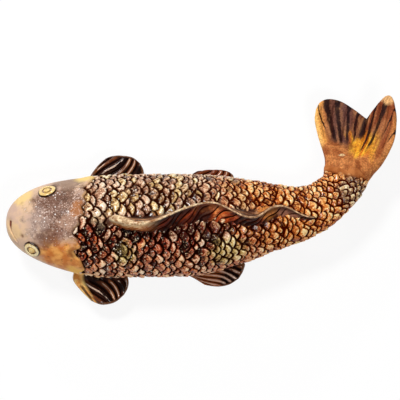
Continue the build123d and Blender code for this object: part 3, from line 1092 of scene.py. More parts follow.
@dataclass
class NodeBench:
    """Places and joins shader nodes in one node tree."""

    tree: Group

    def feed(self, socket: Socket, value: object) -> None:
        """Join an output to a socket, or set the socket to a plain value.

        Args:
            socket: Input socket.
            value: Signal, output socket, number, vector, linear colour or shade.
        """
        if isinstance(value, Signal):
            value = value.socket
        if isinstance(value, Socket):
            self.tree.links.new(value, socket)
        elif socket.type == "RGBA" and len(value) == 3:
            socket.default_value = linear_colour(value)
        else:
            socket.default_value = value

    def node(self, kind: str, feeds: Feeds, **settings: object) -> bpy.types.Node:
        """Add a node.

        Args:
            kind: Kind of node.
            feeds: What goes into its inputs.
            settings: Its settings.

        Returns:
            The node.
        """
        made = self.tree.nodes.new(kind)
        for title, setting in settings.items():
            setattr(made, title, setting)
        for title, value in feeds.items():
            self.feed(made.inputs[title], value)
        return made

    def value(self, kind: str, feeds: Feeds, output: int | str = 0, **settings: object) -> Signal:
        """Add a node and take one of its outputs."""
        return Signal(self, self.node(kind, feeds, **settings).outputs[output])

    def attributes(self, *titles: str) -> list[Signal]:
        """Read masks of the piece's mesh."""
        return [self.value("ShaderNodeAttribute", {}, "Fac", attribute_name=title) for title in titles]

    def coordinates(self) -> Signal:
        """Read the place on the piece, in metres."""
        return self.value("ShaderNodeTexCoord", {}, "Object")

    def math(self, operation: str, first: object, second: object = 0.5, clamp: bool = False) -> Signal:
        """Do a sum on two values."""
        return self.value("ShaderNodeMath", {0: first, 1: second}, operation=operation, use_clamp=clamp)

    def mix(self, share: object, first: object, second: object, blend: str = "MIX") -> Signal:
        """Mix two colours."""
        feeds = {"Factor": share, 6: first, 7: second}
        return self.value("ShaderNodeMix", feeds, 2, data_type="RGBA", blend_type=blend)

    def tones(self, value: Signal, stops: Sequence[tuple[float, Shade]]) -> Signal:
        """Look a value up in a ramp of glaze colours.

        Args:
            value: Value to look up.
            stops: Places and shades, in order.

        Returns:
            The colour.
        """
        made = self.node("ShaderNodeValToRGB", {0: value})
        elements = made.color_ramp.elements
        while len(elements) < len(stops):
            elements.new(0.5)
        for element, (place, shade) in zip(elements, stops):
            element.position = place
            element.color = linear_colour(shade)
        return Signal(self, made.outputs[0])

    def evenly(self, value: Signal, shades: Sequence[Shade]) -> Signal:
        """Look a value up in shades that are spread evenly from 0 to 1."""
        return self.tones(value, [(k / (len(shades) - 1), shade) for k, shade in enumerate(shades)])

    def noise(
        self, scale: float, detail: float = 3.0, roughness: float = 0.55, where: Signal | None = None
    ) -> Signal:
        """Cloudy noise over the piece.

        Args:
            scale: Lumps for each metre.
            detail: Octaves of finer lumps.
            roughness: Strength of the finer lumps.
            where: Coordinates, or none for the place on the piece.

        Returns:
            Noise values round 0.5.
        """
        where = where or self.coordinates()
        feeds = {"Vector": where, "Scale": scale, "Detail": detail, "Roughness": roughness}
        return self.value("ShaderNodeTexNoise", feeds, "Fac")


class GlazeGroups:
    """Shared glaze effects, each a node group with named sockets."""

    kinds = {1: "NodeSocketFloat", 3: "NodeSocketVector", 4: "NodeSocketColor"}

    def __init__(self) -> None:
        """Build the groups."""
        self.patch = self._patch()
        self.pooled = self._pooled()
        self.flecks = self._flecks()
        self.skin = self._skin()

    def _new(
        self, name: str, outputs: Sequence[str], **inputs: object
    ) -> tuple[NodeBench, dict[str, Signal]]:
        """Start a group.

        Args:
            name: Name of the group.
            outputs: Names of the outputs, which are numbers unless named Colour.
            inputs: Names and defaults of the inputs.

        Returns:
            Bench on the group's tree, and what the group is given.
        """
        tree = bpy.data.node_groups.new(name, "ShaderNodeTree")
        for title, default in inputs.items():
            kind = self.kinds[np.size(default)]
            socket = tree.interface.new_socket(title, in_out="INPUT", socket_type=kind)
            socket.default_value = default
        for title in outputs:
            kind = self.kinds[4 if title == "Colour" else 1]
            tree.interface.new_socket(title, in_out="OUTPUT", socket_type=kind)
        bench = NodeBench(tree)
        given = bench.node("NodeGroupInput", {}).outputs
        return bench, {title: Signal(bench, given[title]) for title in inputs}

    @staticmethod
    def _end(bench: NodeBench, **results: Signal) -> Group:
        """Join the results to the group's outputs."""
        bench.node("NodeGroupOutput", results)
        return bench.tree

    def _patch(self) -> Group:
        """Ragged round patch of another glaze at a place on the piece."""
        bench, given = self._new(
            "glaze_patch", ["Mask"], Centre=(0.0, 0.0, 0.0), Stretch=(1.0, 1.0, 1.0), Radius=0.01,
            Raggedness=0.5,
        )
        sums = "ShaderNodeVectorMath"
        offset = bench.value(sums, {0: bench.coordinates(), 1: given["Centre"]}, operation="SUBTRACT")
        squeezed = bench.value(sums, {0: offset, 1: given["Stretch"]}, operation="DIVIDE")
        share = bench.value(sums, {0: squeezed}, "Value", operation="LENGTH") / given["Radius"]
        ragged = (bench.noise(260.0, 4.0) - 0.5) * given["Raggedness"]
        return self._end(bench, Mask=(share + ragged * 2.0).ease(1.15, 0.55))

    def _pooled(self) -> Group:
        """Glaze that gathers in gaps, pools dark in the deepest grooves and breaks light on high spots."""
        grey, dark, black, white = ((value, value, value, 1.0) for value in (0.5, 0.1, 0.0, 1.0))
        bench, given = self._new(
            "pooled_glaze", ["Colour"], Colour=grey, Gap=dark, Pool=black, Break=white, Groove=0.0,
            Height=0.0, Amount=0.4,
        )
        cloud = bench.noise(420.0, 4.0, 0.6)
        grit = bench.noise(1150.0, 3.0, 0.65)
        body = bench.mix(1.0, given["Colour"], grit.ease(0.3, 0.7, 0.62, 1.34), "MULTIPLY")
        high = given["Height"] * cloud.ease(0.4, 0.68)
        light = bench.mix(high * given["Amount"], body, given["Break"])
        deep = (given["Groove"] + (cloud + grit - 1.0) * 0.5).clamped()
        gap = bench.mix(deep.ease(0.2, 0.7), light, given["Gap"])
        return self._end(bench, Colour=bench.mix(deep.ease(0.6, 1.0), gap, given["Pool"]))

    def _flecks(self) -> Group:
        """Fine flecks: crystals and pinholes in the glaze, and painted glints."""
        bench, given = self._new("glaze_flecks", ["Mask"], Scale=2000.0, Amount=0.3)
        feeds = {"Vector": bench.coordinates(), "Scale": given["Scale"]}
        cells = bench.node("ShaderNodeTexVoronoi", feeds).outputs
        draw = bench.value("ShaderNodeSeparateColor", {0: cells["Color"]})
        chosen = bench.math("LESS_THAN", draw, given["Amount"])
        return self._end(bench, Mask=chosen * Signal(bench, cells["Distance"]).ease(0.42, 0.18))

    def _skin(self) -> Group:
        """Slight unevenness of a fired glaze: its ripple, its gloss, and less of both lustres in grooves."""
        bench, given = self._new(
            "glaze_skin", ["Ripple", "Roughness", "Coat", "Mirror"], Gloss=0.2, Spread=0.15, Grain=0.2,
            Coat=0.2, Mirror=0.1, Groove=0.0,
        )
        wide = bench.noise(330.0, 3.0)
        fine = bench.noise(2100.0, 2.0, 0.6) * given["Grain"]
        plain = given["Gloss"] + (wide - 0.42) * given["Spread"] * 2.0
        dull = given["Groove"].ease(0.05, 0.6)
        lustres = {title: given[title] * (1.0 - dull) for title in ("Coat", "Mirror")}
        return self._end(bench, Ripple=wide + fine, Roughness=(plain + dull * 0.6).clamped(), **lustres)


class GlazeMaker(NodeBench):
    """Base of the glazes: a glossy clear-coated ceramic shader and shared helpers."""

    name = "glaze"
    gloss = 0.35
    gloss_spread = 0.15
    ripple = 0.25
    ripple_height = 0.0004
    grain = 0.3
    coat = 0.35
    coat_roughness = 0.1
    mirror = 0.1

    def __init__(self, groups: GlazeGroups) -> None:
        """Start the material.

        Args:
            groups: Shared glaze effects.
        """
        self.groups = groups
        self.material = bpy.data.materials.new(self.name)
        self.material.use_nodes = True
        super().__init__(self.material.node_tree)

    def colour(self) -> Signal:
        """Colour of the glaze over the piece."""
        raise NotImplementedError

    def dullness(self) -> Signal:
        """Where the glaze is dull: in the grooves."""
        return self.attributes("groove")[0]

    def effect(self, group: Group, **values: object) -> Signal:
        """Place a shared group that has one output."""
        return self.value("ShaderNodeGroup", values, node_tree=group)

    def patch(
        self, centre: Place, radius: float, ragged: float = 0.5, stretch: Place = (1.0, 1.0, 1.0)
    ) -> Signal:
        """Mask of a ragged patch.

        Args:
            centre: Middle of the patch in millimetres.
            radius: Radius in millimetres.
            ragged: How ragged its edge is.
            stretch: Stretch along each axis.

        Returns:
            The mask.
        """
        place = tuple(value * MM for value in centre)
        return self.effect(
            self.groups.patch, Centre=place, Stretch=stretch, Radius=radius * MM, Raggedness=ragged
        )

    def dab(self, base: Signal, colour: object, share: float, mask: Signal) -> Signal:
        """Lay a colour over another where a mask says."""
        return self.mix(mask * share, base, colour)

    def dabs(self, base: Signal, patches: Sequence[Patch]) -> Signal:
        """Lay ragged patches over a colour, one after the other.

        Args:
            base: Colour underneath.
            patches: Middles, radii, raggedness, shades and shares of the patches.

        Returns:
            The covered colour.
        """
        for centre, radius, ragged, shade, share in patches:
            base = self.dab(base, shade, share, self.patch(centre, radius, ragged))
        return base

    def marbled(self, cloud: Signal, first: Shade, second: Shade) -> Signal:
        """Two glaze colours that run into each other over a cloud."""
        return self.mix(cloud.ease(0.36, 0.64), first, second)

    def flecks(self, scale: float, amount: float) -> Signal:
        """Mask of fine flecks."""
        return self.effect(self.groups.flecks, Scale=scale, Amount=amount)

    def streaks(self, title: str, stretch: float) -> Signal:
        """Noise drawn out along the rays."""
        ray, out = self.attributes("ray", title)
        return self.noise(1.3, 4.0, 0.6, self.value("ShaderNodeCombineXYZ", {0: ray, 1: out * stretch}))

    def make(self) -> Glaze:
        """Join the colour, gloss and ripple to the shader.

        Returns:
            The finished material.
        """
        feeds = {
            "Gloss": self.gloss, "Spread": self.gloss_spread, "Grain": self.grain, "Coat": self.coat,
            "Mirror": self.mirror, "Groove": self.dullness(),
        }
        skin = self.node("ShaderNodeGroup", feeds, node_tree=self.groups.skin).outputs
        feeds = {"Strength": self.ripple, "Distance": self.ripple_height, "Height": skin["Ripple"]}
        bump = self.value("ShaderNodeBump", feeds)
        shader = self.tree.nodes["Principled BSDF"]
        for title, value in (
            ("Base Color", self.colour()), ("Roughness", skin["Roughness"]), ("Normal", bump),
            ("Specular IOR Level", skin["Mirror"]), ("Coat Weight", skin["Coat"]),
            ("Coat Roughness", self.coat_roughness),
        ):
            self.feed(shader.inputs[title], value)
        return self.material


class ScaleGlaze(GlazeMaker):
    """Tan and straw far flank, near flank darker partly in its glaze and partly by painted shade, golden
    rear, and dark gaps between the scales that carry painted shadow under each free edge.
    """

    name = "scale_glaze"
    gloss = 0.3
    coat = 0.3
    far_tones = ((44, 14, 4), (114, 66, 44), (174, 122, 92), (226, 182, 146), (255, 236, 210))
    straw_tones = ((70, 34, 8), (148, 102, 52), (208, 168, 102), (244, 216, 154), (255, 248, 216))
    rear_tones = ((64, 12, 0), (144, 58, 13), (200, 102, 36), (244, 158, 74), (255, 226, 164))
    deep_tones = ((16, 2, 0), (54, 11, 5), (116, 32, 15), (190, 84, 48), (254, 214, 176))
    ember_tones = ((34, 6, 1), (100, 27, 10), (178, 66, 26), (226, 124, 60), (254, 206, 142))
    low_tones = ((46, 8, 1), (114, 42, 18), (178, 88, 48), (226, 148, 96), (254, 218, 176))
    moss_tones = ((40, 24, 6), (104, 80, 34), (172, 142, 72), (228, 202, 122), (254, 242, 194))
    ash_tones = ((46, 28, 18), (92, 72, 56), (132, 110, 86), (186, 160, 124), (242, 224, 186))
    wrist_shades = ((160, 90, 46), (198, 124, 70))
    wrist_gap = (32, 9, 3)
    far_gap = (40, 8, 1)
    rear_gap = (62, 9, 0)
    near_gap = (24, 2, 0)
    # Long dark band on the back beside the dorsal fin.
    back_dark_band = (74, 26, 15)
    far_glint = (250, 216, 170)
    rear_glint = (255, 196, 112)
    sparkle = (250, 236, 214)
    shadows = (
        ((-37.5, -21.8, 42.0), 9.5, (1.8, 0.8, 1.0), 0.28),
        ((2.0, -22.0, 41.0), 8.5, (1.2, 0.8, 1.0), 0.22),
        ((-57.0, -28.0, 38.0), 6.5, (0.8, 1.6, 1.0), 0.22),
        ((-18.0, -20.5, 43.0), 9.5, (1.9, 0.7, 1.0), 0.32),
        ((-13.0, -1.5, 42.0), 7.0, (2.0, 0.6, 1.0), 0.2),
    )

    def dullness(self) -> Signal:
        """Where the glaze is dull: in the gaps and on the smooth wrist."""
        groove, scaled = self.attributes("groove", "scaled")
        return self.math("MAXIMUM", groove, 1.0 - scaled)

    def level(self, drift: Signal, grit: Signal) -> Signal:
        """How light a scale's top is.

        Args:
            drift: Slow noise round 0.
            grit: Fine noise round 0.

        Returns:
            Level from 0 to 1.
        """
        along, flank, dome = self.attributes("along", "flank", "dome")
        tone, tilt, lip = self.attributes("tone_0", "tilt", "lip")
        lump = self.noise(430.0, 2.0) - 0.5
        rear = along.ease(0.6, 0.85, 0.0, 0.07) * flank.ease(0.6, 0.1)
        level = dome * 0.3 + 0.11 + rear
        # The tilt term paints shade on each scale's covered side and light toward its free edge; the lip term
        # paints a highlight along the free edge.
        for value, share in (
            (tone - 0.5, 0.6), (tilt - 0.5, 0.6), (grit, 2.6), (lump, 1.1), (drift, 0.5), (lip, 0.3),
        ):
            level = level + value * share
        for centre, radius, stretch, share in self.shadows:
            level = level - self.patch(centre, radius, 0.8, stretch) * share
        return level.clamped()

    def colour(self) -> Signal:
        """Colour of the scaled body."""
        along, flank, groove, scaled = self.attributes("along", "flank", "groove", "scaled")
        first, second, dome = self.attributes("tone_1", "tone_2", "dome")
        drift = self.noise(75.0, 3.0) - 0.5
        grit = self.noise(900.0, 3.0, 0.75) - 0.5
        level = self.level(drift, grit)
        to_tail = along + drift * 0.5
        lean = flank + drift * 0.6
        behind = to_tail.ease(0.36, 0.7)
        # The near flank takes darker tones: partly its own darker glaze, partly painted shade on the side
        # turned from the key lamp.
        beneath = lean.ease(0.18, -0.14)
        rear, moss, ash = (
            self.evenly(level, tones) for tones in (self.rear_tones, self.moss_tones, self.ash_tones)
        )
        upper = self.mix(behind, self.evenly(level, self.far_tones), rear)
        straw = first.ease(0.5, 0.72, 0.0, 0.85) * behind.ease(0.0, 1.0, 1.0, 0.3)
        upper = self.mix(straw, upper, self.evenly(level, self.straw_tones))
        blot = self.noise(210.0, 3.0).ease(0.5, 0.64) * lean.ease(-0.95, -0.6, 0.05, 0.3)
        shaded = (level + second.ease(0.2, 0.7, -0.16, 0.16) - blot).clamped()
        near = self.evenly(shaded, self.deep_tones)
        for mask, tones in (
            (lean.ease(-0.55, -0.92), self.low_tones),
            (second.ease(0.82, 0.92, 0.0, 0.8), self.far_tones),
            (first.ease(0.74, 0.9, 0.0, 0.8), self.ember_tones),
        ):
            near = self.mix(mask, near, self.evenly(shaded, tones))
        base = self.mix(beneath, upper, self.mix(to_tail.ease(0.46, 0.72), near, rear))
        for centre, radius, stretch, glaze, share in (
            ((-38.5, -29.2, 36.0), 8.0, (0.9, 1.1, 1.0), moss, 0.85),
            ((13.0, -29.7, 34.0), 9.5, (1.2, 1.0, 1.0), moss, 0.75),
            ((79.0, 3.0, 29.0), 10.5, (1.1, 0.9, 1.0), ash, 0.8),
            ((-51.0, -15.0, 44.0), 5.5, (1.0, 1.0, 1.0), ash, 0.6),
            ((-4.0, -20.0, 43.0), 9.0, (2.6, 0.6, 1.0), self.back_dark_band, 0.6),
        ):
            base = self.dab(base, glaze, share, self.patch(centre, radius, 0.8, stretch))
        gap = self.mix(behind, self.far_gap, self.rear_gap)
        # Darker gaps on the near flank: partly painted shade.
        gap = self.mix(beneath * to_tail.ease(0.75, 0.4), gap, self.near_gap)
        depth = groove * beneath.ease(0.0, 1.0, 0.95, 1.05) + (grit + drift) * 1.3
        wrist = self.marbled(self.noise(160.0, 4.0), *self.wrist_shades)
        wrist = self.mix(groove, wrist, self.wrist_gap)
        glazed = self.mix(scaled, wrist, self.mix(depth.ease(0.32, 0.8), base, gap))
        glint = self.noise(1200.0, 2.0).ease(0.57, 0.68) * dome.ease(0.35, 0.9)
        bright = self.mix(behind, self.far_glint, self.rear_glint)
        glazed = self.dab(glazed, bright, 0.7, glint * scaled)
        # Near-white flecks: painted glints.
        sparkle = self.flecks(900.0, 0.13) * along.ease(0.5, 0.15, 0.05, 0.9)
        return self.mix(sparkle, glazed, self.sparkle)


class HeadGlaze(GlazeMaker):
    """Cream snout and orange cheek under a mauve-brown crystalline crown."""

    name = "head_glaze"
    gloss = 0.5
    ripple = 0.45
    grain = 0.8
    coat = 0.04
    # The last two stops make a step, past which the crystals are pale
    crown_tones = (
        (0.62, (64, 38, 28)), (0.76, (106, 72, 58)), (0.88, (136, 102, 86)), (1.0, (166, 130, 114)),
        (1.0, (232, 210, 196)),
    )
    patches = (
        ((-91.0, -1.0, 29.0), 7.0, 0.4, (244, 208, 136), 0.85),
        ((-95.6, -18.3, 29.0), 6.0, 0.4, (236, 198, 140), 0.6),
        ((-68.0, 5.5, 32.0), 8.0, 0.6, (152, 124, 106), 0.85),
        ((-68.0, -16.5, 42.4), 5.5, 1.1, (206, 164, 138), 0.45),
        ((-77.0, -4.5, 39.0), 7.0, 1.1, (104, 70, 56), 0.45),
        ((-84.0, -15.5, 37.6), 8.0, 1.1, (184, 160, 148), 0.5),
        ((-80.0, -24.5, 36.0), 5.5, 1.0, (104, 66, 50), 0.6),
        ((-74.0, -23.5, 39.5), 6.0, 1.0, (134, 90, 72), 0.5),
        ((-62.2, -10.5, 43.0), 5.0, 0.9, (178, 112, 60), 0.75),
        ((-63.5, -38.8, 24.0), 6.5, 0.5, (246, 190, 92), 0.9),
        ((-59.0, 8.0, 29.0), 6.5, 0.4, (244, 210, 124), 0.95),
        ((-65.0, -31.0, 37.0), 3.8, 0.7, (120, 62, 30), 0.75),
    )
    snout_shades = ((228, 192, 156), (208, 174, 154))
    cheek_shades = ((210, 118, 46), (244, 172, 88))
    cheek_fleck = (128, 62, 24)
    rim_shade = (232, 180, 104)
    # Colour of the painted shadow round the eyes.
    eye_shadow_shade = (66, 36, 22)
    pit_shade = (128, 92, 62)
    mouth_shade = (112, 36, 22)
    # Flecks on the crown: dark and pale crystals, and near-white painted glints.
    crystals = (
        (1300.0, 0.34, (62, 40, 32), 0.6), (1250.0, 0.26, (238, 224, 212), 0.6),
        (900.0, 0.08, (255, 250, 244), 0.9),
    )

    def colour(self) -> Signal:
        """Colour of the head."""
        rim, pool, pit, mouth = self.attributes("rim", "pool", "pit", "mouth")
        cloud = self.noise(130.0, 5.0, 0.6)
        base = self.marbled(cloud, *self.snout_shades)
        crown = self.patch((-71.5, -11.0, 41.0), 19.5, 0.75)
        mottle = self.noise(1150.0, 2.0, 0.7) + self.noise(150.0, 4.0, 0.6) * 0.7
        base = self.dab(base, self.tones(mottle, self.crown_tones), 0.95, crown)
        orange = self.marbled(self.noise(210.0, 4.0), *self.cheek_shades)
        cheek = self.patch((-69.5, -33.0, 32.0), 14.0, 0.4, (1.3, 0.78, 1.0))
        base = self.dab(base, orange, 0.97, cheek)
        base = self.dab(base, self.cheek_fleck, 0.55, self.flecks(420.0, 0.3) * cheek)
        base = self.dabs(base, self.patches)
        # Crystal flecks and near-white painted glints on the crown.
        for scale, amount, shade, share in self.crystals:
            base = self.dab(base, shade, share, self.flecks(scale, amount) * crown)
        base = self.dab(base, self.rim_shade, 0.6, rim * cloud.ease(0.42, 0.6))
        # Painted shadow round the eye discs, darkest behind them.
        base = self.mix(pool, base, self.eye_shadow_shade)
        base = self.dab(base, self.pit_shade, 0.9, pit)
        return self.mix(mouth.ease(0.2, 0.75), base, self.mouth_shade)


class FinGlaze(GlazeMaker):
    """Black-brown glaze with painted highlights along the combed rays, amber rays and one cream leading edge.
    """

    name = "fin_glaze"
    gloss = 0.2
    coat = 0.6
    dark_tones = ((0.38, (20, 6, 3)), (0.52, (42, 16, 9)), (0.64, (76, 36, 22)), (0.76, (128, 74, 44)))
    amber_tones = ((0.4, (84, 38, 18)), (0.56, (140, 80, 42)), (0.75, (206, 148, 92)))
    edge_shade = (150, 98, 62)
    groove_shade = (20, 7, 4)
    # Painted highlight colours for the ray ridges.
    ridge_highlight_shade = (226, 194, 170)
    bloom_shade = (222, 180, 156)
    cream_shades = ((206, 136, 66), (244, 206, 130))
    line_shade = (48, 18, 8)
    patches = (
        ((3.0, -39.0, 11.0), 9.0, 0.8, (176, 96, 52), 0.75),
        ((6.0, 10.5, 11.0), 12.0, 0.6, (156, 72, 36), 0.6),
    )

    def colour(self) -> Signal:
        """Colour of a paddle fin."""
        across, groove, lane, ridge = self.attributes("across", "groove", "lane", "ridge")
        edge, reach = self.attributes("edge", "reach")
        streak = self.streaks("reach", 1.5)
        amber = lane.ease(0.72, 0.8) * ridge.ease(0.5, 0.9)
        base = self.mix(amber, self.tones(streak, self.dark_tones), self.tones(streak, self.amber_tones))
        base = self.dabs(base, self.patches)
        # Painted highlights along the ray ridges, and on the near pelvic fin's ridges.
        pale = ridge.ease(0.93, 0.99) * streak.ease(0.45, 0.53)
        pelvic_ridge_highlight = ridge.ease(0.7, 0.97) * self.patch((14.0, -44.0, 12.0), 10.0, 0.9)
        for shade, share, mask in (
            (self.edge_shade, 0.5, edge.ease(0.5, 0.95)), (self.groove_shade, 0.9, groove.ease(0.2, 0.6)),
            (self.ridge_highlight_shade, 0.85, pale), (self.bloom_shade, 0.85, pelvic_ridge_highlight),
        ):
            base = self.dab(base, shade, share, mask)
        cream = across.ease(0.23, 0.15) * self.patch((-60.0, -46.0, 14.0), 16.0, 0.2)
        line = abs(across - 0.1).ease(0.05, 0.02) * reach.ease(0.42, 0.55)
        banded = self.marbled(self.noise(260.0, 4.0), *self.cream_shades)
        return self.mix(cream, base, self.dab(banded, self.line_shade, 0.85, line))


class DorsalGlaze(GlazeMaker):
    """Red-brown to black glaze with a bare cream crest."""

    name = "dorsal_glaze"
    gloss = 0.3
    coat = 0.12
    left_tones = (
        (0.36, (16, 3, 2)), (0.48, (46, 12, 7)), (0.58, (98, 32, 16)), (0.7, (184, 72, 28)),
        (0.82, (232, 138, 76)),
    )
    clay_tones = ((0.4, (112, 50, 22)), (0.68, (190, 112, 56)), (0.92, (240, 200, 148)))
    right_shades = ((112, 72, 48), (172, 122, 80))
    # Painted shade at the foot of the right face.
    right_foot = (44, 20, 12)
    pooled_shades = {"Gap": (50, 16, 10), "Pool": (20, 4, 2), "Break": (190, 92, 50)}
    # Colour of the painted shadow under the crest.
    crest_shadow = (44, 18, 11)
    front_crest = ((164, 114, 72), (255, 228, 184))
    rear_crest = ((136, 94, 64), (240, 198, 154))
    patches = (
        ((35.0, -9.0, 41.0), 7.0, 0.5, (222, 138, 62), 0.85),
        ((46.0, -10.0, 38.0), 8.0, 0.5, (158, 106, 84), 0.85),
        ((1.5, -13.5, 47.0), 6.0, 0.5, (30, 8, 5), 0.85),
    )

    def colour(self) -> Signal:
        """Colour of the dorsal fin."""
        share, climb, flank, groove, crest = self.attributes("share", "climb", "flank", "groove", "crest")
        grain = self.noise(420.0, 4.0, 0.65)
        heat = self.patch((8.0, -9.0, 52.0), 14.0, 0.6) * 0.27
        streak = self.streaks("climb", 1.6) + heat - climb.ease(0.75, 0.3, 0.0, 0.05)
        left = self.tones(streak, self.left_tones)
        right = self.marbled(self.noise(110.0, 4.0), *self.right_shades)
        # Painted shade: the right face darkens toward its foot.
        right = self.mix(climb.ease(0.85, 0.4), right, self.right_foot)
        base = self.dabs(self.mix(flank.ease(-0.2, 0.2), left, right), self.patches)
        pooled = self.effect(
            self.groups.pooled, Colour=base, Groove=groove, Height=climb, Amount=0.15, **self.pooled_shades
        )
        # Painted shadow just under the crest.
        pooled = self.dab(pooled, self.crest_shadow, 0.75, climb.ease(0.8, 0.94))
        front_clay, rear_clay = (self.marbled(grain, *pair) for pair in (self.front_crest, self.rear_crest))
        bare = self.mix(share.ease(0.35, 0.65), front_clay, rear_clay)
        edge = crest * self.noise(260.0, 4.0).ease(0.36, 0.5, 0.45, 1.0)
        front = share.ease(0.26, 0.14) * flank.ease(-0.6, -0.99)
        clay = self.tones(climb + grain - 0.5, self.clay_tones)
        pooled = self.mix(front * climb.ease(0.3, 0.55), pooled, clay)
        bulb = share.ease(0.12, 0.07) * climb.ease(0.72, 0.95)
        return self.mix(self.math("MAXIMUM", edge, bulb), pooled, bare)


class TailGlaze(GlazeMaker):
    """Amber tail with dark strokes along its rays, a gold fan in the fork and red-brown on one lobe."""

    name = "tail_glaze"
    gloss = 0.55
    grain = 0.35
    coat = 0.0
    mirror = 0.05
    lobe_tones = (
        (0.0, (246, 192, 112)), (0.07, (230, 160, 80)), (0.12, (162, 96, 52)), (0.17, (108, 66, 52)),
        (0.3, (102, 66, 58)), (0.4, (102, 56, 40)), (0.48, (88, 42, 26)), (0.56, (112, 52, 27)),
        (0.72, (122, 58, 33)), (0.9, (144, 74, 40)), (1.0, (206, 132, 70)),
    )
    strokes = (
        (0.045, 0.01, 0.5), (0.125, 0.038, 0.31), (0.22, 0.034, 0.32), (0.325, 0.028, 0.38),
        (0.42, 0.018, 0.5), (0.52, 0.05, 0.6), (0.635, 0.028, 0.33), (0.77, 0.038, 0.3),
        (0.9, 0.013, 0.5), (1.04, 0.012, 0.5),
    )
    fan_middle = 0.45
    wrist_shades = ((152, 82, 42), (202, 128, 72))
    worn_shade = (210, 144, 92)
    gold_shades = ((196, 104, 26), (252, 188, 54))
    stroke_shade = (34, 14, 15)
    tip_shade = (238, 182, 122)
    curl_shade = (244, 214, 160)
    pooled_shades = {"Gap": (60, 30, 24), "Pool": (36, 14, 12), "Break": (214, 150, 94)}

    def colour(self) -> Signal:
        """Colour of the tail."""
        across, reach, groove = self.attributes("across", "reach", "groove")
        cloud = self.noise(150.0, 4.0)
        streak = self.streaks("reach", 2.0)
        stray = streak - 0.5
        wander = reach + (cloud - 0.5) * 0.2
        wrist = self.marbled(self.noise(240.0, 5.0), *self.wrist_shades)
        lobes = self.tones(across, self.lobe_tones)
        worn = self.mix(0.5, lobes, self.worn_shade)
        lobes = self.mix(streak.ease(0.45, 0.66, 0.0, 0.7), lobes, worn)
        base = self.mix(wander.ease(0.3, 0.44), wrist, lobes)
        gold = self.marbled(streak, *self.gold_shades)
        fan = (abs(across + reach * 0.5 - 0.8) - stray * 0.25).ease(0.27, 0.06) * wander.ease(0.22, 0.32)
        base = self.dab(base, gold, 0.95, fan * (reach + stray * 0.8).ease(0.7, 0.55))
        swayed = (across - self.fan_middle) / (reach * 0.4 + 0.6) + self.fan_middle
        swayed = swayed + (cloud - 0.5) * 0.05 + (self.noise(420.0, 2.0) - 0.5) * 0.025
        for place, width, start in self.strokes:
            line = abs(swayed - place).ease(width, 0.45 * width) * wander.ease(start, start + 0.14)
            base = self.dab(base, self.stroke_shade, 0.96, line)
        tip = self.patch((96.5, 52.0, 29.0), 4.6, 0.6)
        curl = self.patch((73.0, 22.0, 30.0), 1.5, 0.8, (1.6, 0.7, 2.0))
        base = self.dab(base, self.tip_shade, 0.85, tip)
        base = self.dab(base, self.curl_shade, 0.8, curl)
        relief = {"Groove": groove * 0.55, "Height": streak.ease(0.45, 0.7)}
        return self.effect(self.groups.pooled, Colour=base, Amount=0.2, **relief, **self.pooled_shades)


class EyeGlaze(GlazeMaker):
    """Cream-yellow glaze with fine cracks, which pools brown in the incised ring."""

    name = "eye_glaze"
    disc_shades = ((246, 220, 158), (230, 192, 116))
    bloom_shade = (255, 240, 196)
    crack_shade = (120, 78, 30)
    ring_shade = (50, 26, 10)

    def colour(self) -> Signal:
        """Colour of the eye disc."""
        ring = self.attributes("ring")[0]
        base = self.marbled(self.noise(300.0, 4.0), *self.disc_shades)
        base = self.dab(base, self.bloom_shade, 0.7, self.patch((-86.5, -30.5, 31.0), 6.0, 0.3))
        crack = abs(self.noise(430.0, 2.0) - 0.5).ease(0.022, 0.006)
        base = self.dab(base, self.crack_shade, 0.55, crack)
        return self.mix(ring.ease(0.2, 0.6), base, self.ring_shade)


class PupilGlaze(GlazeMaker):
    """Slightly deeper yellow glaze of the pupils."""

    name = "pupil_glaze"
    shades = ((240, 208, 138), (214, 168, 90))

    def colour(self) -> Signal:
        """Colour of a pupil."""
        return self.marbled(self.noise(420.0, 4.0), *self.shades)


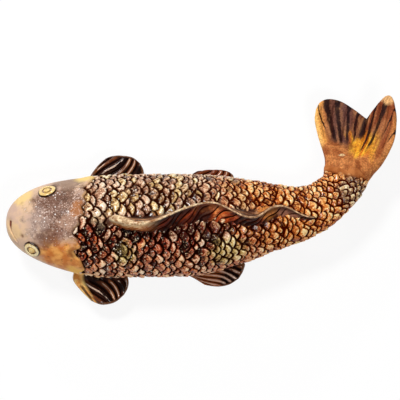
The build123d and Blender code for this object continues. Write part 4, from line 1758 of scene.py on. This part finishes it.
@dataclass
class Studio:
    """White table, soft lamps and the camera over the fish."""

    elevation: float = math.radians(78.0)
    distance: float = 3.0
    view_width: float = 0.2056
    target: Place = (-0.0005, -0.0007, 0.022)
    table_size: float = 3.0
    table_white: Colour = (0.95, 0.95, 0.95, 1.0)
    lamps: tuple[tuple[str, Place, float, float], ...] = (
        ("key_softbox", (-0.4, 0.42, 1.0), 0.22, 10.0),
        ("near_softbox", (0.35, -0.55, 1.1), 0.3, 6.0),
        ("far_softbox", (-0.3, 1.1, 0.6), 0.12, 2.5),
    )
    world_strength: float = 0.08
    backdrop_share: float = 0.88

    def table(self) -> None:
        """Make the white table top."""
        bpy.ops.object.select_all(action="DESELECT")
        bpy.ops.mesh.primitive_plane_add(size=self.table_size, location=(0.0, 0.0, 0.0))
        top = bpy.context.object
        top.name = "table_top"
        material = bpy.data.materials.new("table_white")
        material.use_nodes = True
        shader = material.node_tree.nodes["Principled BSDF"]
        bench = NodeBench(material.node_tree)
        looks = {"Base Color": self.table_white, "Roughness": 0.9, "Specular IOR Level": 0.0}
        for title, value in looks.items():
            bench.feed(shader.inputs[title], value)
        seen = bench.value("ShaderNodeLightPath", {}, "Is Camera Ray") * self.backdrop_share
        white = bench.value("ShaderNodeEmission", {})
        both = bench.value("ShaderNodeMixShader", {0: seen, 1: shader.outputs[0], 2: white})
        bench.feed(material.node_tree.nodes["Material Output"].inputs["Surface"], both)
        top.data.materials.append(material)

    def light(self) -> None:
        """Hang the softboxes and set the room's soft light."""
        for name, place, size, power in self.lamps:
            bpy.ops.object.light_add(type="AREA", location=place)
            lamp = bpy.context.object
            lamp.name = name
            lamp.data.size = size
            lamp.data.energy = power
            lamp.rotation_euler = (Vector(self.target) - Vector(place)).to_track_quat("-Z", "Y").to_euler()
        world = bpy.data.worlds.new("room")
        world.use_nodes = True
        room = world.node_tree.nodes["Background"].inputs
        room["Color"].default_value = (1.0, 1.0, 1.0, 1.0)
        room["Strength"].default_value = self.world_strength
        bpy.context.scene.world = world

    def camera(self) -> None:
        """Set the camera at the photograph's viewing angle."""
        out = Vector((0.0, -math.cos(self.elevation), math.sin(self.elevation)))
        place = Vector(self.target) + out * self.distance
        bpy.ops.object.camera_add(location=place, rotation=out.to_track_quat("Z", "Y").to_euler())
        eye = bpy.context.object
        eye.name = "photo_camera"
        eye.data.angle = 2.0 * math.atan(self.view_width / 2.0 / self.distance)
        eye.data.clip_end = 10.0
        bpy.context.scene.camera = eye

    def build(self) -> None:
        """Set up the table, lamps, camera and view transform."""
        self.table()
        self.light()
        self.camera()
        bpy.context.scene.view_settings.view_transform = "Standard"


@dataclass
class KoiFigurine:
    """The whole fish."""

    body: ScaledBody = field(default_factory=ScaledBody)
    head: Head = field(default_factory=Head)
    dorsal: DorsalFin = field(default_factory=DorsalFin)
    tail: TailFin = field(default_factory=TailFin)
    paddles: tuple[Paddle, ...] = (
        Paddle(
            "left_pectoral_fin", Side.LEFT, 34.2, 28.0, 12.9, 4.0, rays=5.6,
            lead=((0.0, 0.0), (0.14, 0.45), (0.34, 0.84)), tip=((0.48, 0.98), (0.6, 1.0), (0.78, 0.9)),
            trail=((0.94, 0.62), (1.01, 0.34), (1.02, 0.0)),
        ),
        Paddle("right_pectoral_fin", Side.RIGHT, 42.5, 28.0, 13.0, 4.0, rays=5.6),
        Paddle(
            "left_pelvic_fin", Side.LEFT, 91.5, 28.0, 4.0, 9.0, rays=4.6, ray_lean=0.95,
            lead=((-0.02, -0.6), (0.13, 0.2), (0.31, 0.9)), tip=((0.46, 1.25), (0.6, 1.35), (0.77, 1.15)),
            trail=((0.94, 0.5), (1.03, -0.4), (1.07, -1.4)),
        ),
        Paddle("right_pelvic_fin", Side.RIGHT, 92.3, 26.4, 6.0, 9.0, rays=4.6),
    )

    def build(self) -> None:
        """Make and dress every piece."""
        groups = GlazeGroups()
        scales = ScaleGlaze(groups).make()
        self.body.half("back_shell", 0.0, scales)
        self.body.half("belly_shell", np.pi, scales)
        self.head.build(HeadGlaze(groups).make(), EyeGlaze(groups).make(), PupilGlaze(groups).make())
        self.dorsal.build(DorsalGlaze(groups).make())
        self.tail.build(TailGlaze(groups).make())
        fin_glaze = FinGlaze(groups).make()
        for paddle in self.paddles:
            paddle.build(fin_glaze)


def main() -> None:
    """Build the fish and its studio."""
    logging.basicConfig(level=logging.INFO, format="%(name)s %(message)s")
    KoiFigurine().build()
    Studio().build()


if __name__ == "__main__":
    main()
